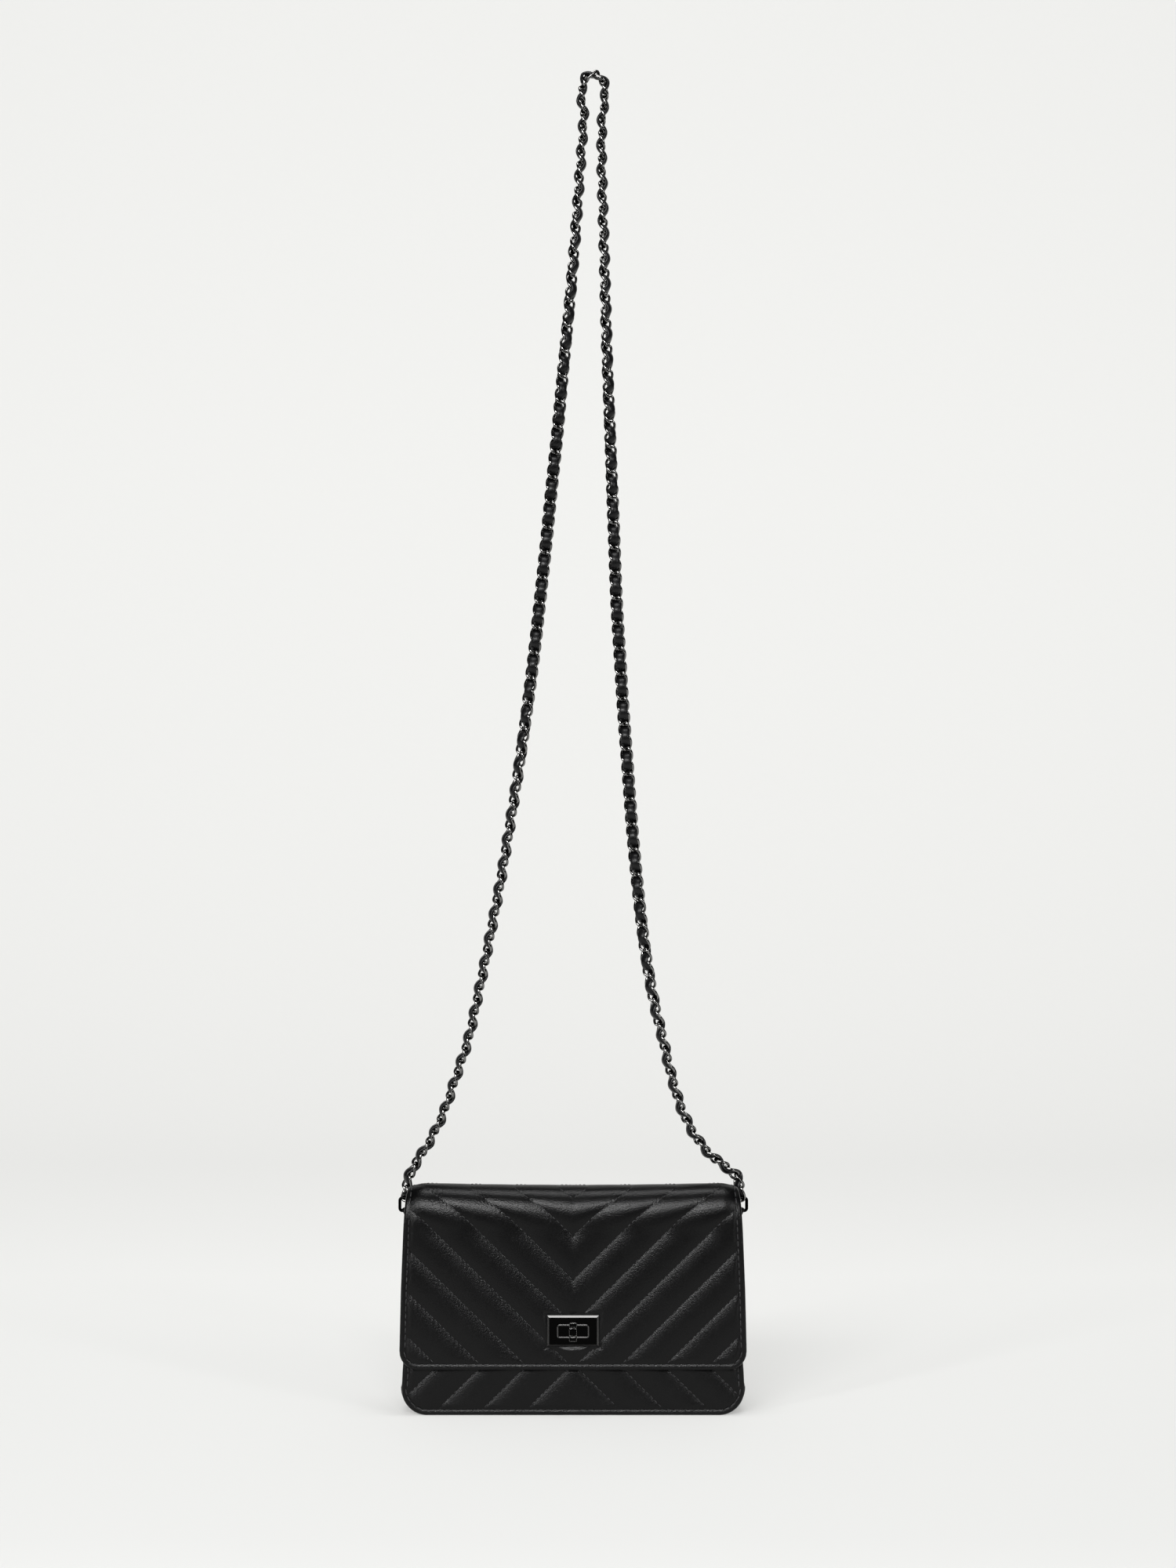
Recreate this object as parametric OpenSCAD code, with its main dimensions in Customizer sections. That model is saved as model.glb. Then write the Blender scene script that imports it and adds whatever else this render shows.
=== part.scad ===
// Chain shoulder bag: a small quilted flap bag with a turn lock on its flap
// and a chain strap with a leather lace woven through the links.
// The origin is on the floor under the middle of the bag. The front faces -Y.

/* [Body] */
// Width of the body along its bottom
body_w = 192; // [170:1:230]
// Distance by which each side leans inwards up to the body's top
body_taper = 6; // [4:0.5:8]
// Height of the back panel
body_h = 121; // [110:1:160]
// Depth from the face of the flap to the face of the back
bag_d = 34; // [32:0.5:50]
// Radius of the two bottom corners
body_corner_r = 13; // [6:0.5:20]
// Radius of the two top corners of the back panel
back_corner_r = 6; // [2:0.5:12]
// Distance from the top of the back panel down to the top of the front panel
front_drop = 13; // [11:1:26]

/* [Leather] */
// Thickness of a quilted panel with its padding
panel_t = 3.4; // [2.6:0.1:4]
// Thickness of the padding in a quilted panel
padding_t = 2; // [1:0.1:2]
// Distance from a panel's edge to its padding
padding_inset = 5; // [3:0.5:10]
// Thickness of a stiffening board
board_t = 1; // [0.6:0.1:1.4]
// Thickness of a lining
lining_t = 0.8; // [0.5:0.1:1]
// Thickness of the base strip and the gussets
strip_t = 1.2; // [0.8:0.1:1.4]
// Height of the two upturned ends of the base strip
strip_end_h = 18; // [16:1:30]

/* [Gussets] */
// Distance from the panel's edge to the gusset's edge
gusset_inset = 1.8; // [1.6:0.1:3]
// Width of the flange that is sewn to a panel
flange_w = 7; // [6:0.5:9]
// Depth of the inward fold beyond the flanges
fold_d = 6; // [3:0.5:8]
// Height at which a gusset starts
gusset_start_h = 15; // [14:1:20]
// Distance from the top of the back panel down to the top of a gusset
gusset_drop = 15; // [14:1:46]

/* [Flap] */
// Distance by which each side of the flap stands out past the body
flap_overhang = 0.5; // [0:0.1:1.5]
// Distance by which each side of the flap leans inwards up to its fold
flap_taper = 2.5; // [1:0.5:4]
// Distance from the body's top corner in to the flap's side at its hinge
flap_back_inset = 3; // [3:0.5:8]
// Height of the flap's lower edge above the floor
flap_edge_h = 26; // [20:1:34]
// Radius of the flap's lower corners
flap_corner_r = 8; // [3:0.5:14]
// Outer radius of the fold between top and front
flap_fold_r = 12; // [9:0.5:14]
// Thickness of the flap with its lining
flap_t = 4.2; // [4.2:0.1:5]
// Thickness of the flap's outer skin over the padding
flap_skin_t = 1.4; // [1:0.1:1.6]
// Distance from the flap's edge to its padding
flap_padding_inset = 4; // [3:0.5:8]
// Gap between the flap and the front panel
flap_gap = 0.6; // [0.4:0.1:1]
// Gap between the flap's hinge and the top of the back
hinge_gap = 0.3; // [0.2:0.1:0.6]

/* [Inside] */
// Distance from the top of the back panel down to the top of the card backing
card_drop = 17; // [17:1:31]
// Step down from the top of the card backing to the highest card slot
card_slot_drop = 12; // [9:1:24]
// Step down from one card slot to the next
card_step = 12; // [8:1:16]
// Gap between the two columns of card slots
card_column_gap = 1; // [0.5:0.5:3]
// Distance from the top of the back panel down to the top of the middle pocket
pocket_drop = 21; // [21:1:36]
// Height of the pocket's folded bottom above the floor
pocket_start_h = 8; // [4:1:14]
// Distance from the middle pocket's face to the bag's middle
pocket_face_y = 0.6; // [0:0.1:1]
// Outer thickness of the middle pocket
pocket_d = 5.2; // [5:0.1:5.6]
// Clearance between the pocket and the fold of the gussets
pocket_clear = 1.2; // [0.8:0.1:3]

/* [Zip] */
// Distance from the body's top corner in to the end of the teeth
zip_margin = 26; // [25:1:40]
// Width of one tape
zip_tape_w = 1.8; // [1.6:0.1:2]
// Thickness of a tape
zip_tape_t = 0.6; // [0.4:0.1:0.8]
// Distance from one tooth to the next
tooth_pitch = 2; // [1.6:0.2:3]
// Width of the row of teeth
tooth_w = 2.4; // [2.2:0.1:2.6]
// Height of a tooth
tooth_h = 1.4; // [1:0.1:1.8]
// Length of a stop at the end of the teeth
stop_l = 2; // [1:0.5:3]
// Length of the slider
slider_l = 9; // [7:0.5:12]
// Wall of the slider
slider_wall = 1; // [0.8:0.1:1.1]
// Running clearance of the slider
slider_clear = 0.25; // [0.2:0.05:0.3]
// Length of the pull
pull_l = 12; // [8:0.5:12]
// Width of the pull
pull_w = 4.4; // [4:0.1:5]
// Thickness of the pull
pull_t = 1; // [0.8:0.1:1]

/* [Snap] */
// Height of the hidden snap above the floor
snap_h = 48; // [44:1:60]
// Radius of the snap's discs
snap_r = 7; // [5:0.5:9]
// Thickness of the disc on the front panel
stud_disc_t = 1; // [0.8:0.1:1.2]
// Radius of the stud
stud_r = 2.4; // [1.8:0.1:3]
// Thickness of the disc in the flap
socket_t = 1.4; // [1.2:0.1:1.6]
// Clearance round the stud
snap_clear = 0.8; // [0.6:0.1:1.2]

/* [Lock] */
// Width of the lock plate
lock_w = 28.5; // [24:0.5:34]
// Height of the lock plate
lock_h = 17; // [14:0.5:20]
// Thickness of the lock plate
lock_t = 1.8; // [1.4:0.1:2.4]
// Width of the bevel round the lock plate
lock_bevel = 1; // [0.4:0.1:1.2]
// Width of the raised frame of the slot
slot_w = 18; // [15:0.5:20]
// Height of the raised frame of the slot
slot_h = 7.8; // [7:0.1:9]
// Width of the frame's rim
slot_rim = 1; // [0.6:0.1:1.2]
// Radius of the frame's outer corners
slot_corner_r = 1.5; // [1.3:0.1:2]
// Height by which the frame stands out of the plate
slot_t = 1; // [0.6:0.1:1.4]
// Width of the toggle
toggle_w = 4.4; // [4:0.1:5]
// Width and depth of the two grooves across the toggle
toggle_groove = 0.3; // [0.2:0.05:0.4]
// Radius of the toggle's corners
toggle_corner_r = 1; // [0.5:0.1:1.1]
// Length of the toggle
toggle_l = 10.4; // [9.6:0.1:12]
// Thickness of the toggle
toggle_t = 3; // [2:0.1:4]
// Radius of the toggle's spindle
spindle_r = 1.5; // [1.2:0.1:1.8]
// Running clearance of the spindle
spindle_clear = 0.08; // [0.05:0.01:0.1]
// Radius of the washer behind the plate
washer_r = 2.8; // [2.4:0.1:3.4]
// Radius of the two posts that hold the plate
post_r = 1; // [0.8:0.1:1.2]
// Distance between the two posts
post_gap = 21; // [20:0.5:22]
// Radius of the clenched ends of the posts
post_head_r = 1.7; // [1.5:0.1:2]

/* [Strap] */
// Height of the strap above its rings
strap_rise = 635; // [500:5:700]
// Number of links
links = 184; // [150:2:200]
// Thickness of a link's wire
link_wire = 1.55; // [1.2:0.05:1.6]
// Outer width of a link
link_w = 7.4; // [7.2:0.1:8]
// Clearance between two links
link_gap = 0.3; // [0.2:0.05:0.4]
// Width of the lace
lace_w = 1.4; // [1:0.1:1.5]
// Thickness of the lace
lace_t = 0.6; // [0.4:0.1:0.7]
// Swing of the lace to the front and back of the chain
lace_swing = 3; // [2.8:0.05:3.2]

/* [Rings and tabs] */
// Distance from the body's top corner out to the ring's middle
ring_overhang = 4; // [4:0.1:6]
// Distance from the top of the back panel down to the ring's upper wire
ring_drop = 3; // [2.5:0.1:6]
// Outer size of a ring
ring_size = 9; // [9:0.5:12]
// Radius of a ring's wire
ring_wire_r = 0.9; // [0.7:0.05:1]
// Radius of a ring's corners, on the middle of the wire
ring_corner_r = 1.5; // [1.2:0.1:1.7]
// Thickness of the folded tab
tab_t = 2.6; // [2.4:0.1:3]
// Width of a tab at its ring
tab_w = 3.6; // [3:0.1:3.8]
// Clearance round the ring's wire in the tab
tab_clear = 0.2; // [0.15:0.05:0.3]
// Width of a tab at its root
tab_root_w = 5; // [4:0.1:5.4]
// Sideways lean of a tab from its ring to its root
tab_lean = 7.3; // [6.5:0.1:8]
// Length of a tab
tab_l = 15; // [12:0.5:20]
// Radius of a rivet's shank
rivet_r = 1; // [0.8:0.1:1.2]
// Radius of a rivet's head
rivet_head_r = 2; // [1.6:0.1:2.2]
// Thickness of a rivet's head
rivet_head_t = 0.8; // [0.5:0.1:1]

/* [Hidden] */

// Overrun of a cut past the face that it opens
cut = 1;
// Smallest clearance between two pieces that don't touch
clear = 0.2;
// Steps in each rounded corner of an outline
corner_steps = 8;
round_fn = 48;

// Widths and heights that follow the body
body_top_w = body_w - 2 * body_taper;
front_h = body_h - front_drop;
gusset_l = body_h - gusset_drop - gusset_start_h;
flap_w = body_w + 2 * flap_overhang;
flap_shoulder_w = flap_w - 2 * flap_taper;
flap_top_w = body_top_w + 2 * flap_overhang;
flap_back_w = body_top_w - 2 * flap_back_inset;
card_h = body_h - card_drop;
card_slot_h = card_h - card_slot_drop;
pocket_h = body_h - pocket_drop;
zip_l = body_top_w - 2 * zip_margin;

// Depths along Y, from the back to the front
back_y = bag_d / 2;
back_inner_y = back_y - panel_t;
back_board_y = back_inner_y - board_t;
back_lining_y = back_board_y - lining_t;
card_backing_y = back_lining_y - lining_t;
front_y = -bag_d / 2 + flap_t + flap_gap;
front_inner_y = front_y + panel_t;
front_board_y = front_inner_y + board_t;
front_lining_y = front_board_y + lining_t;
flap_face_y = -bag_d / 2;
flap_inner_y = flap_face_y + flap_t;
pocket_back_y = pocket_face_y + pocket_d;
pocket_y = pocket_face_y + pocket_d / 2;

// Heights of the flap and its hinge
flap_top_z = body_h + hinge_gap + flap_t;
hinge_y = back_y - flap_t / 2;
hinge_z = body_h + hinge_gap + flap_t / 2;
fold_y = flap_face_y + flap_fold_r;
fold_z = flap_top_z - flap_fold_r;
flap_core_t = flap_t - lining_t;

// The side edges lean inwards from the bottom to the top
side_lean = atan((body_w - body_top_w) / 2 / body_h);
fold_slope = 2 * fold_d / (back_inner_y - front_inner_y - strip_t);
liner_inset = gusset_inset + flange_w + strip_t / 2 + (board_t + lining_t) * fold_slope + clear;
inner_inset = gusset_inset + flange_w + fold_d + pocket_clear;
board_top_gap = 4;

// Zip heights and its slider
tape_z = pocket_h;
teeth_z = tape_z + zip_tape_t;
spine_t = tooth_h / 3;
tooth_l = tooth_pitch * 0.55;
slider_inner_w = tooth_w + 2 * slider_clear;
slider_w = slider_inner_w + 2 * slider_wall;
slider_z = teeth_z + slider_clear;
slider_top_z = teeth_z + tooth_h + slider_clear + slider_wall;
slider_x = zip_l / 2 - slider_clear - slider_l / 2;
pull_lift = pull_t / 2 + slider_clear;
pull_z = slider_top_z + pull_lift;
pull_pin_r = pull_t / 2;
lug_r = pull_lift + pull_t / 2;
lug_w = 1.6;

// Depths of the lock, from its face to its washer
lock_face_y = flap_face_y - lock_t;
slot_face_y = lock_face_y - slot_t;
toggle_back_y = slot_face_y - clear;
toggle_face_y = toggle_back_y - toggle_t;
slot_inner_r = slot_corner_r - slot_rim;
toggle_cap_l = toggle_l / 4;
toggle_core_w = toggle_w - 2 * toggle_groove;
toggle_core_t = toggle_t - toggle_groove;
lock_z = snap_h;
back_plate_t = 0.6;
back_plate_side = 1.5;
back_plate_end = 2;
back_plate_w = lock_w - 2 * back_plate_side;
back_plate_h = lock_h - 2 * back_plate_end;
skin_inner_y = flap_face_y + flap_skin_t;
plate_inner_y = skin_inner_y + back_plate_t;
clench_t = 0.4;

// Rings, tabs and the pivot of the strap
ring_x = body_top_w / 2 + ring_overhang;
pivot_z = body_h - ring_drop;
pivot_y = back_inner_y - strip_t - tab_t / 2;
ring_mid = ring_size - 2 * ring_wire_r;
ring_bar_z = pivot_z - ring_mid;
tab_root_x = ring_x - tab_lean;
tab_root_z = ring_bar_z - tab_l;
tab_eye_r = ring_wire_r + tab_clear;
rivet_z = tab_root_z + tab_l / 4;
rivet_x = tab_root_x + tab_lean / 8;

// Route of the strap from the left ring to the right one. Each point is a share of the
// ring's distance from the middle and a share of the strap's rise.
route_shares = [
    [-1, 0], [-1, 0.012], [-0.98, 0.022], [-0.938, 0.034], [-0.884, 0.046], [-0.82, 0.063],
    [-0.757, 0.085], [-0.707, 0.107], [-0.635, 0.139], [-0.571, 0.181], [-0.497, 0.235],
    [-0.439, 0.28], [-0.381, 0.331], [-0.328, 0.381], [-0.28, 0.431], [-0.236, 0.482],
    [-0.197, 0.534], [-0.161, 0.584], [-0.127, 0.635], [-0.095, 0.68], [-0.063, 0.732],
    [-0.034, 0.776], [-0.008, 0.817], [0.016, 0.861], [0.036, 0.902], [0.055, 0.942],
    [0.062, 0.966], [0.047, 0.98], [0.068, 0.994], [0.12, 1], [0.172, 0.994], [0.193, 0.98],
    [0.178, 0.966], [0.17, 0.931], [0.176, 0.89], [0.186, 0.839], [0.195, 0.789],
    [0.207, 0.732], [0.22, 0.682], [0.233, 0.631], [0.246, 0.581], [0.26, 0.528],
    [0.279, 0.483], [0.3, 0.433], [0.326, 0.383], [0.353, 0.329], [0.387, 0.276],
    [0.43, 0.222], [0.48, 0.178], [0.54, 0.14], [0.598, 0.104], [0.661, 0.076],
    [0.751, 0.052], [0.857, 0.035], [0.942, 0.026], [0.985, 0.02], [1, 0.012], [1, 0],
];
// Turn of the chain about its own length, in degrees, by share of the strap's length
twist_shares = [
    [0, -45], [0.03, -80], [0.1, -70], [0.18, -60], [0.24, -10], [0.335, 10], [0.42, 60],
    [0.48, 90], [0.52, 90], [0.6, 120], [0.7, 165], [0.755, 180], [0.81, 180], [0.86, 200],
    [0.92, 245], [0.97, 250], [1, 225],
];
// Turn of each link away from the chain's flat side, to one side and the other in turn
link_turn = 45;
// Steps of the route between two of its points
route_steps = 6;
// Sections of the lace for each link
lace_steps = 4;

function unit(v) = v / norm(v);
function turned(v) = [-v[1], v[0]];

// A line of points widened to a strip of thickness t
function strip_normal(points, i) =
    let (
        last = len(points) - 1,
        before = unit(points[max(i, 1)] - points[max(i, 1) - 1]),
        after = unit(points[min(i + 1, last)] - points[min(i + 1, last) - 1]),
        mitre = unit(turned(before) + turned(after))
    )
    mitre / (mitre * turned(before));
function strip_outline(points, t) = concat(
    [for (i = [0:len(points) - 1]) points[i] + strip_normal(points, i) * t / 2],
    [for (i = [len(points) - 1:-1:0]) points[i] - strip_normal(points, i) * t / 2]
);

// A closed outline with a radius on each corner
function corner_arc(before, corner, after, r) =
    let (
        to_before = unit(before - corner),
        to_after = unit(after - corner),
        half = acos(to_before * to_after) / 2,
        middle = corner + unit(to_before + to_after) * r / sin(half),
        first = corner + to_before * r / tan(half) - middle,
        last = corner + to_after * r / tan(half) - middle,
        start = atan2(first[1], first[0]),
        swing = atan2(last[1], last[0]) - start,
        turn = swing > 180 ? swing - 360 : swing < -180 ? swing + 360 : swing
    )
    [for (i = [0:corner_steps])
        middle + r * [cos(start + turn * i / corner_steps), sin(start + turn * i / corner_steps)]];
function rounded(points, radii) =
    let (n = len(points))
    [for (i = [0:n - 1]) each corner_arc(points[(i + n - 1) % n], points[i], points[(i + 1) % n], radii[i])];

// Outline of the body in the front view, drawn in by side_inset from its sides
function half_width(z) = body_w / 2 - (body_w - body_top_w) / 2 * z / body_h;
function body_outline(side_inset, bottom_z, top_z, bottom_r, top_r) =
    let (low = half_width(bottom_z) - side_inset, high = half_width(top_z) - side_inset)
    rounded([[-low, bottom_z], [low, bottom_z], [high, top_z], [-high, top_z]],
        [bottom_r, bottom_r, top_r, top_r]);
function inner_r(inset) = max(body_corner_r - inset, clear);
function flap_outline(inset) =
    let (low = flap_w / 2 - inset, mid = flap_shoulder_w / 2 - inset, high = flap_top_w / 2 - inset)
    rounded([[-low, flap_edge_h + inset], [low, flap_edge_h + inset], [mid, fold_z],
        [high, flap_top_z], [-high, flap_top_z], [-mid, fold_z]],
        [flap_corner_r - inset / 2, flap_corner_r - inset / 2, flap_fold_r, flap_t / 2,
        flap_t / 2, flap_fold_r]);
function flap_plan(inset) =
    let (wide = flap_w / 2, narrow = flap_back_w / 2 - inset)
    [[-wide, flap_face_y - cut], [wide, flap_face_y - cut], [wide, fold_y - flap_fold_r / 2],
    [narrow, fold_y + flap_fold_r / 2], [narrow, back_y + cut], [-narrow, back_y + cut],
    [-narrow, fold_y + flap_fold_r / 2], [-wide, fold_y - flap_fold_r / 2]];

// A plate that stands in the XZ plane between two depths
module upright(outline, y_low, y_high) {
    translate([0, y_high, 0])
        rotate([90, 0, 0])
            linear_extrude(height = y_high - y_low)
                polygon(outline);
}

// A cylinder along Y between two depths
module across(r, x, z, y_low, y_high) {
    translate([x, y_high, z])
        rotate([90, 0, 0])
            cylinder(r = r, h = y_high - y_low, $fn = round_fn);
}

// A profile in the YZ plane drawn out along X
module along_x(w) {
    rotate([90, 0, 90])
        linear_extrude(height = w, center = true)
            children();
}

// The same piece on the left side
module on_left() {
    mirror([1, 0, 0]) children();
}

module back_padding() {
    color("#4a4a4c")
        upright(body_outline(padding_inset, padding_inset, body_h - padding_inset,
            inner_r(padding_inset), back_corner_r / 2), back_inner_y, back_inner_y + padding_t);
}
module back_panel() {
    color("#1d1d1f")
        difference() {
            upright(body_outline(0, 0, body_h, body_corner_r, back_corner_r), back_inner_y, back_y);
            back_padding();
        }
}
module back_board() {
    color("#6e675c")
        upright(body_outline(liner_inset, strip_t + clear, body_h - board_top_gap,
            clear, back_corner_r / 2), back_board_y, back_inner_y);
}
module back_lining() {
    color("#2a2a2c")
        upright(body_outline(liner_inset, strip_t + clear, body_h - board_top_gap,
            clear, back_corner_r / 2), back_lining_y, back_board_y);
}
module back_top_binding() {
    top = body_h - board_top_gap;
    w = 2 * (half_width(body_h) - liner_inset);
    color("#1d1d1f")
        along_x(w)
            union() {
                translate([back_lining_y - lining_t, top])
                    square([back_inner_y - back_lining_y + lining_t, lining_t]);
                translate([back_lining_y - lining_t, card_h + lining_t])
                    square([lining_t, top - card_h]);
            }
}

module front_padding() {
    color("#4a4a4c")
        upright(body_outline(padding_inset, padding_inset, front_h - padding_inset,
            inner_r(padding_inset), back_corner_r / 2), front_inner_y - padding_t, front_inner_y);
}
module front_panel() {
    color("#1d1d1f")
        difference() {
            upright(body_outline(0, 0, front_h, body_corner_r, back_corner_r), front_y, front_inner_y);
            front_padding();
            across(snap_r, 0, snap_h, front_y - cut, front_y + stud_disc_t);
        }
}
module front_board() {
    color("#6e675c")
        upright(body_outline(liner_inset, strip_t + clear, front_h, clear, back_corner_r / 2),
            front_inner_y, front_board_y);
}
module front_lining() {
    color("#2a2a2c")
        upright(body_outline(liner_inset, strip_t + clear, front_h, clear, back_corner_r / 2),
            front_board_y, front_lining_y);
}
module front_top_binding() {
    lip = board_top_gap * 2;
    w = 2 * (half_width(front_h) - liner_inset) - back_corner_r;
    color("#1d1d1f")
        along_x(w)
            union() {
                translate([front_y, front_h]) square([front_lining_y - front_y + lining_t, lining_t]);
                translate([front_lining_y, front_h - lip]) square([lining_t, lip + lining_t]);
            }
}

module base_strip() {
    ends = body_w + cut;
    color("#1d1d1f")
        translate([0, back_inner_y, 0])
            rotate([90, 0, 0])
                linear_extrude(height = back_inner_y - front_inner_y)
                    intersection() {
                        difference() {
                            polygon(body_outline(0, 0, body_h, body_corner_r, back_corner_r));
                            polygon(body_outline(strip_t, strip_t, body_h, inner_r(strip_t), clear));
                        }
                        translate([-ends / 2, 0]) square([ends, strip_end_h]);
                    }
}
module right_gusset() {
    edge = -gusset_inset;
    flange = edge - flange_w;
    back = back_inner_y - strip_t / 2;
    front = front_inner_y + strip_t / 2;
    color("#1d1d1f")
        difference() {
            translate([half_width(0), 0, 0])
                rotate([0, -side_lean, 0])
                    translate([0, 0, gusset_start_h])
                        linear_extrude(height = gusset_l)
                            polygon(strip_outline([[edge, front], [flange, front],
                                [flange - fold_d, (front + back) / 2], [flange, back], [edge, back]],
                                strip_t));
            across(rivet_r, rivet_x, rivet_z, back_inner_y - strip_t - cut, back_inner_y + cut);
        }
}
module left_gusset() {
    on_left() right_gusset();
}

module card_backing() {
    color("#232325")
        upright(body_outline(inner_inset, pocket_start_h, card_h, clear, clear),
            card_backing_y, back_lining_y);
}
// One row of card slots: the row number counts from the highest
module card_slots(row) {
    y = card_backing_y - row * lining_t;
    color("#1d1d1f")
        difference() {
            upright(body_outline(inner_inset, pocket_start_h, card_slot_h - row * card_step, clear, clear),
                y - lining_t, y);
            translate([-card_column_gap / 2, y - lining_t - cut, 0])
                cube([card_column_gap, lining_t + 2 * cut, body_h]);
        }
}
module card_slots_upper() {
    card_slots(0);
}
module card_slots_middle() {
    card_slots(1);
}
module card_slots_lower() {
    card_slots(2);
}

module zip_pocket() {
    color("#232325")
        difference() {
            upright(body_outline(inner_inset, pocket_start_h, pocket_h, clear, clear),
                pocket_face_y, pocket_back_y);
            translate([-body_w / 2, pocket_face_y + lining_t, pocket_start_h + lining_t])
                cube([body_w, pocket_d - 2 * lining_t, body_h]);
        }
}
module zip_tapes() {
    l = zip_l + 2 * stop_l;
    color("#141416")
        for (y = [pocket_face_y, pocket_back_y - zip_tape_w])
            translate([-l / 2, y, tape_z]) cube([l, zip_tape_w, zip_tape_t]);
}
module zip_teeth() {
    teeth = floor(zip_l / tooth_pitch);
    start = -teeth * tooth_pitch / 2;
    crown = [for (i = [0:teeth - 1])
        let (x = start + i * tooth_pitch + (tooth_pitch - tooth_l) / 2)
        each [[x, teeth_z + spine_t], [x, teeth_z + tooth_h], [x + tooth_l, teeth_z + tooth_h],
            [x + tooth_l, teeth_z + spine_t]]];
    color("#5d5c5e")
        upright(concat([[start, teeth_z], [start, teeth_z + spine_t]], crown,
            [[-start, teeth_z + spine_t], [-start, teeth_z]]),
            pocket_y - tooth_w / 2, pocket_y + tooth_w / 2);
}
module zip_stops() {
    w = tooth_w + zip_tape_t;
    color("#5d5c5e")
        for (x = [-zip_l / 2 - stop_l, zip_l / 2])
            translate([x, pocket_y - w / 2, teeth_z]) cube([stop_l, w, tooth_h + slider_clear]);
}
module zip_slider() {
    color("#5d5c5e")
        difference() {
            union() {
                translate([slider_x - slider_l / 2, pocket_y - slider_w / 2, slider_z])
                    cube([slider_l, slider_w, slider_top_z - slider_z]);
                across(lug_r, slider_x, pull_z, pocket_y - lug_w / 2, pocket_y + lug_w / 2);
            }
            translate([slider_x - slider_l / 2 - cut, pocket_y - slider_inner_w / 2, slider_z - cut])
                cube([slider_l + 2 * cut, slider_inner_w, slider_top_z - slider_wall - slider_z + cut]);
            across(pull_pin_r + spindle_clear, slider_x, pull_z, pocket_y - slider_w, pocket_y + slider_w);
        }
}
module zip_pull() {
    slot_end = lug_r + clear;
    slot_half = lug_w / 2 + clear;
    color("#5d5c5e")
        union() {
            difference() {
                translate([slider_x - pull_l, pocket_y - pull_w / 2, pull_z - pull_t / 2])
                    cube([pull_l, pull_w, pull_t]);
                translate([slider_x - slot_end, pocket_y - slot_half, pull_z - pull_t])
                    cube([slot_end + cut, 2 * slot_half, 2 * pull_t]);
                translate([slider_x - pull_l + pull_w / 2, pocket_y, pull_z - pull_t])
                    cylinder(r = pull_w / 4, h = 2 * pull_t, $fn = round_fn);
            }
            across(pull_pin_r, slider_x, pull_z, pocket_y - pull_w / 2, pocket_y + pull_w / 2);
        }
}

module snap_stud() {
    reach = flap_gap + socket_t - 2 * clear;
    color("#6b6a6c")
        union() {
            across(snap_r, 0, snap_h, front_y, front_y + stud_disc_t);
            across(stud_r, 0, snap_h, front_y - reach, front_y + stud_disc_t / 2);
        }
}
module snap_socket() {
    color("#6b6a6c")
        difference() {
            across(snap_r, 0, snap_h, flap_inner_y - socket_t, flap_inner_y);
            across(stud_r + snap_clear, 0, snap_h, flap_inner_y - socket_t - cut, flap_inner_y + cut);
        }
}

// A tab stands at the right ring: its eye holds the ring's lower wire
module strap_tab_right() {
    color("#1d1d1f")
        difference() {
            union() {
                upright(rounded([[tab_root_x - tab_root_w / 2, tab_root_z],
                    [tab_root_x + tab_root_w / 2, tab_root_z],
                    [ring_x + tab_w / 2, ring_bar_z], [ring_x - tab_w / 2, ring_bar_z]],
                    [rivet_r, rivet_r, clear, clear]), pivot_y - tab_t / 2, pivot_y + tab_t / 2);
                translate([ring_x - tab_w / 2, pivot_y, ring_bar_z])
                    rotate([0, 90, 0])
                        cylinder(r = tab_eye_r + tab_t / 2, h = tab_w, $fn = round_fn);
            }
            translate([ring_x - tab_w / 2 - cut, pivot_y, ring_bar_z])
                rotate([0, 90, 0])
                    cylinder(r = tab_eye_r, h = tab_w + 2 * cut, $fn = round_fn);
            across(rivet_r, rivet_x, rivet_z, pivot_y - tab_t, pivot_y + tab_t);
        }
}
module strap_tab_left() {
    on_left() strap_tab_right();
}

// A square ring with round corners, in the XZ plane
module strap_ring_right() {
    half = ring_mid / 2 - ring_corner_r;
    color("#5d5c5e")
        translate([ring_x, pivot_y, pivot_z - ring_mid / 2])
            rotate([90, 0, 0])
                for (turn = [0:90:270])
                    rotate([0, 0, turn]) {
                        translate([half, half, 0])
                            rotate_extrude(angle = 90, $fn = round_fn)
                                translate([ring_corner_r, 0]) circle(r = ring_wire_r, $fn = round_fn);
                        translate([ring_mid / 2, half, 0])
                            rotate([90, 0, 0])
                                cylinder(r = ring_wire_r, h = 2 * half, $fn = round_fn);
                    }
}
module strap_ring_left() {
    on_left() strap_ring_right();
}
module rivet_right() {
    union() {
        across(rivet_r, rivet_x, rivet_z, pivot_y - tab_t / 2, back_inner_y);
        across(rivet_head_r, rivet_x, rivet_z, pivot_y - tab_t / 2 - rivet_head_t, pivot_y - tab_t / 2);
    }
}
module tab_rivets() {
    color("#5d5c5e") {
        rivet_right();
        on_left() rivet_right();
    }
}

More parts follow.
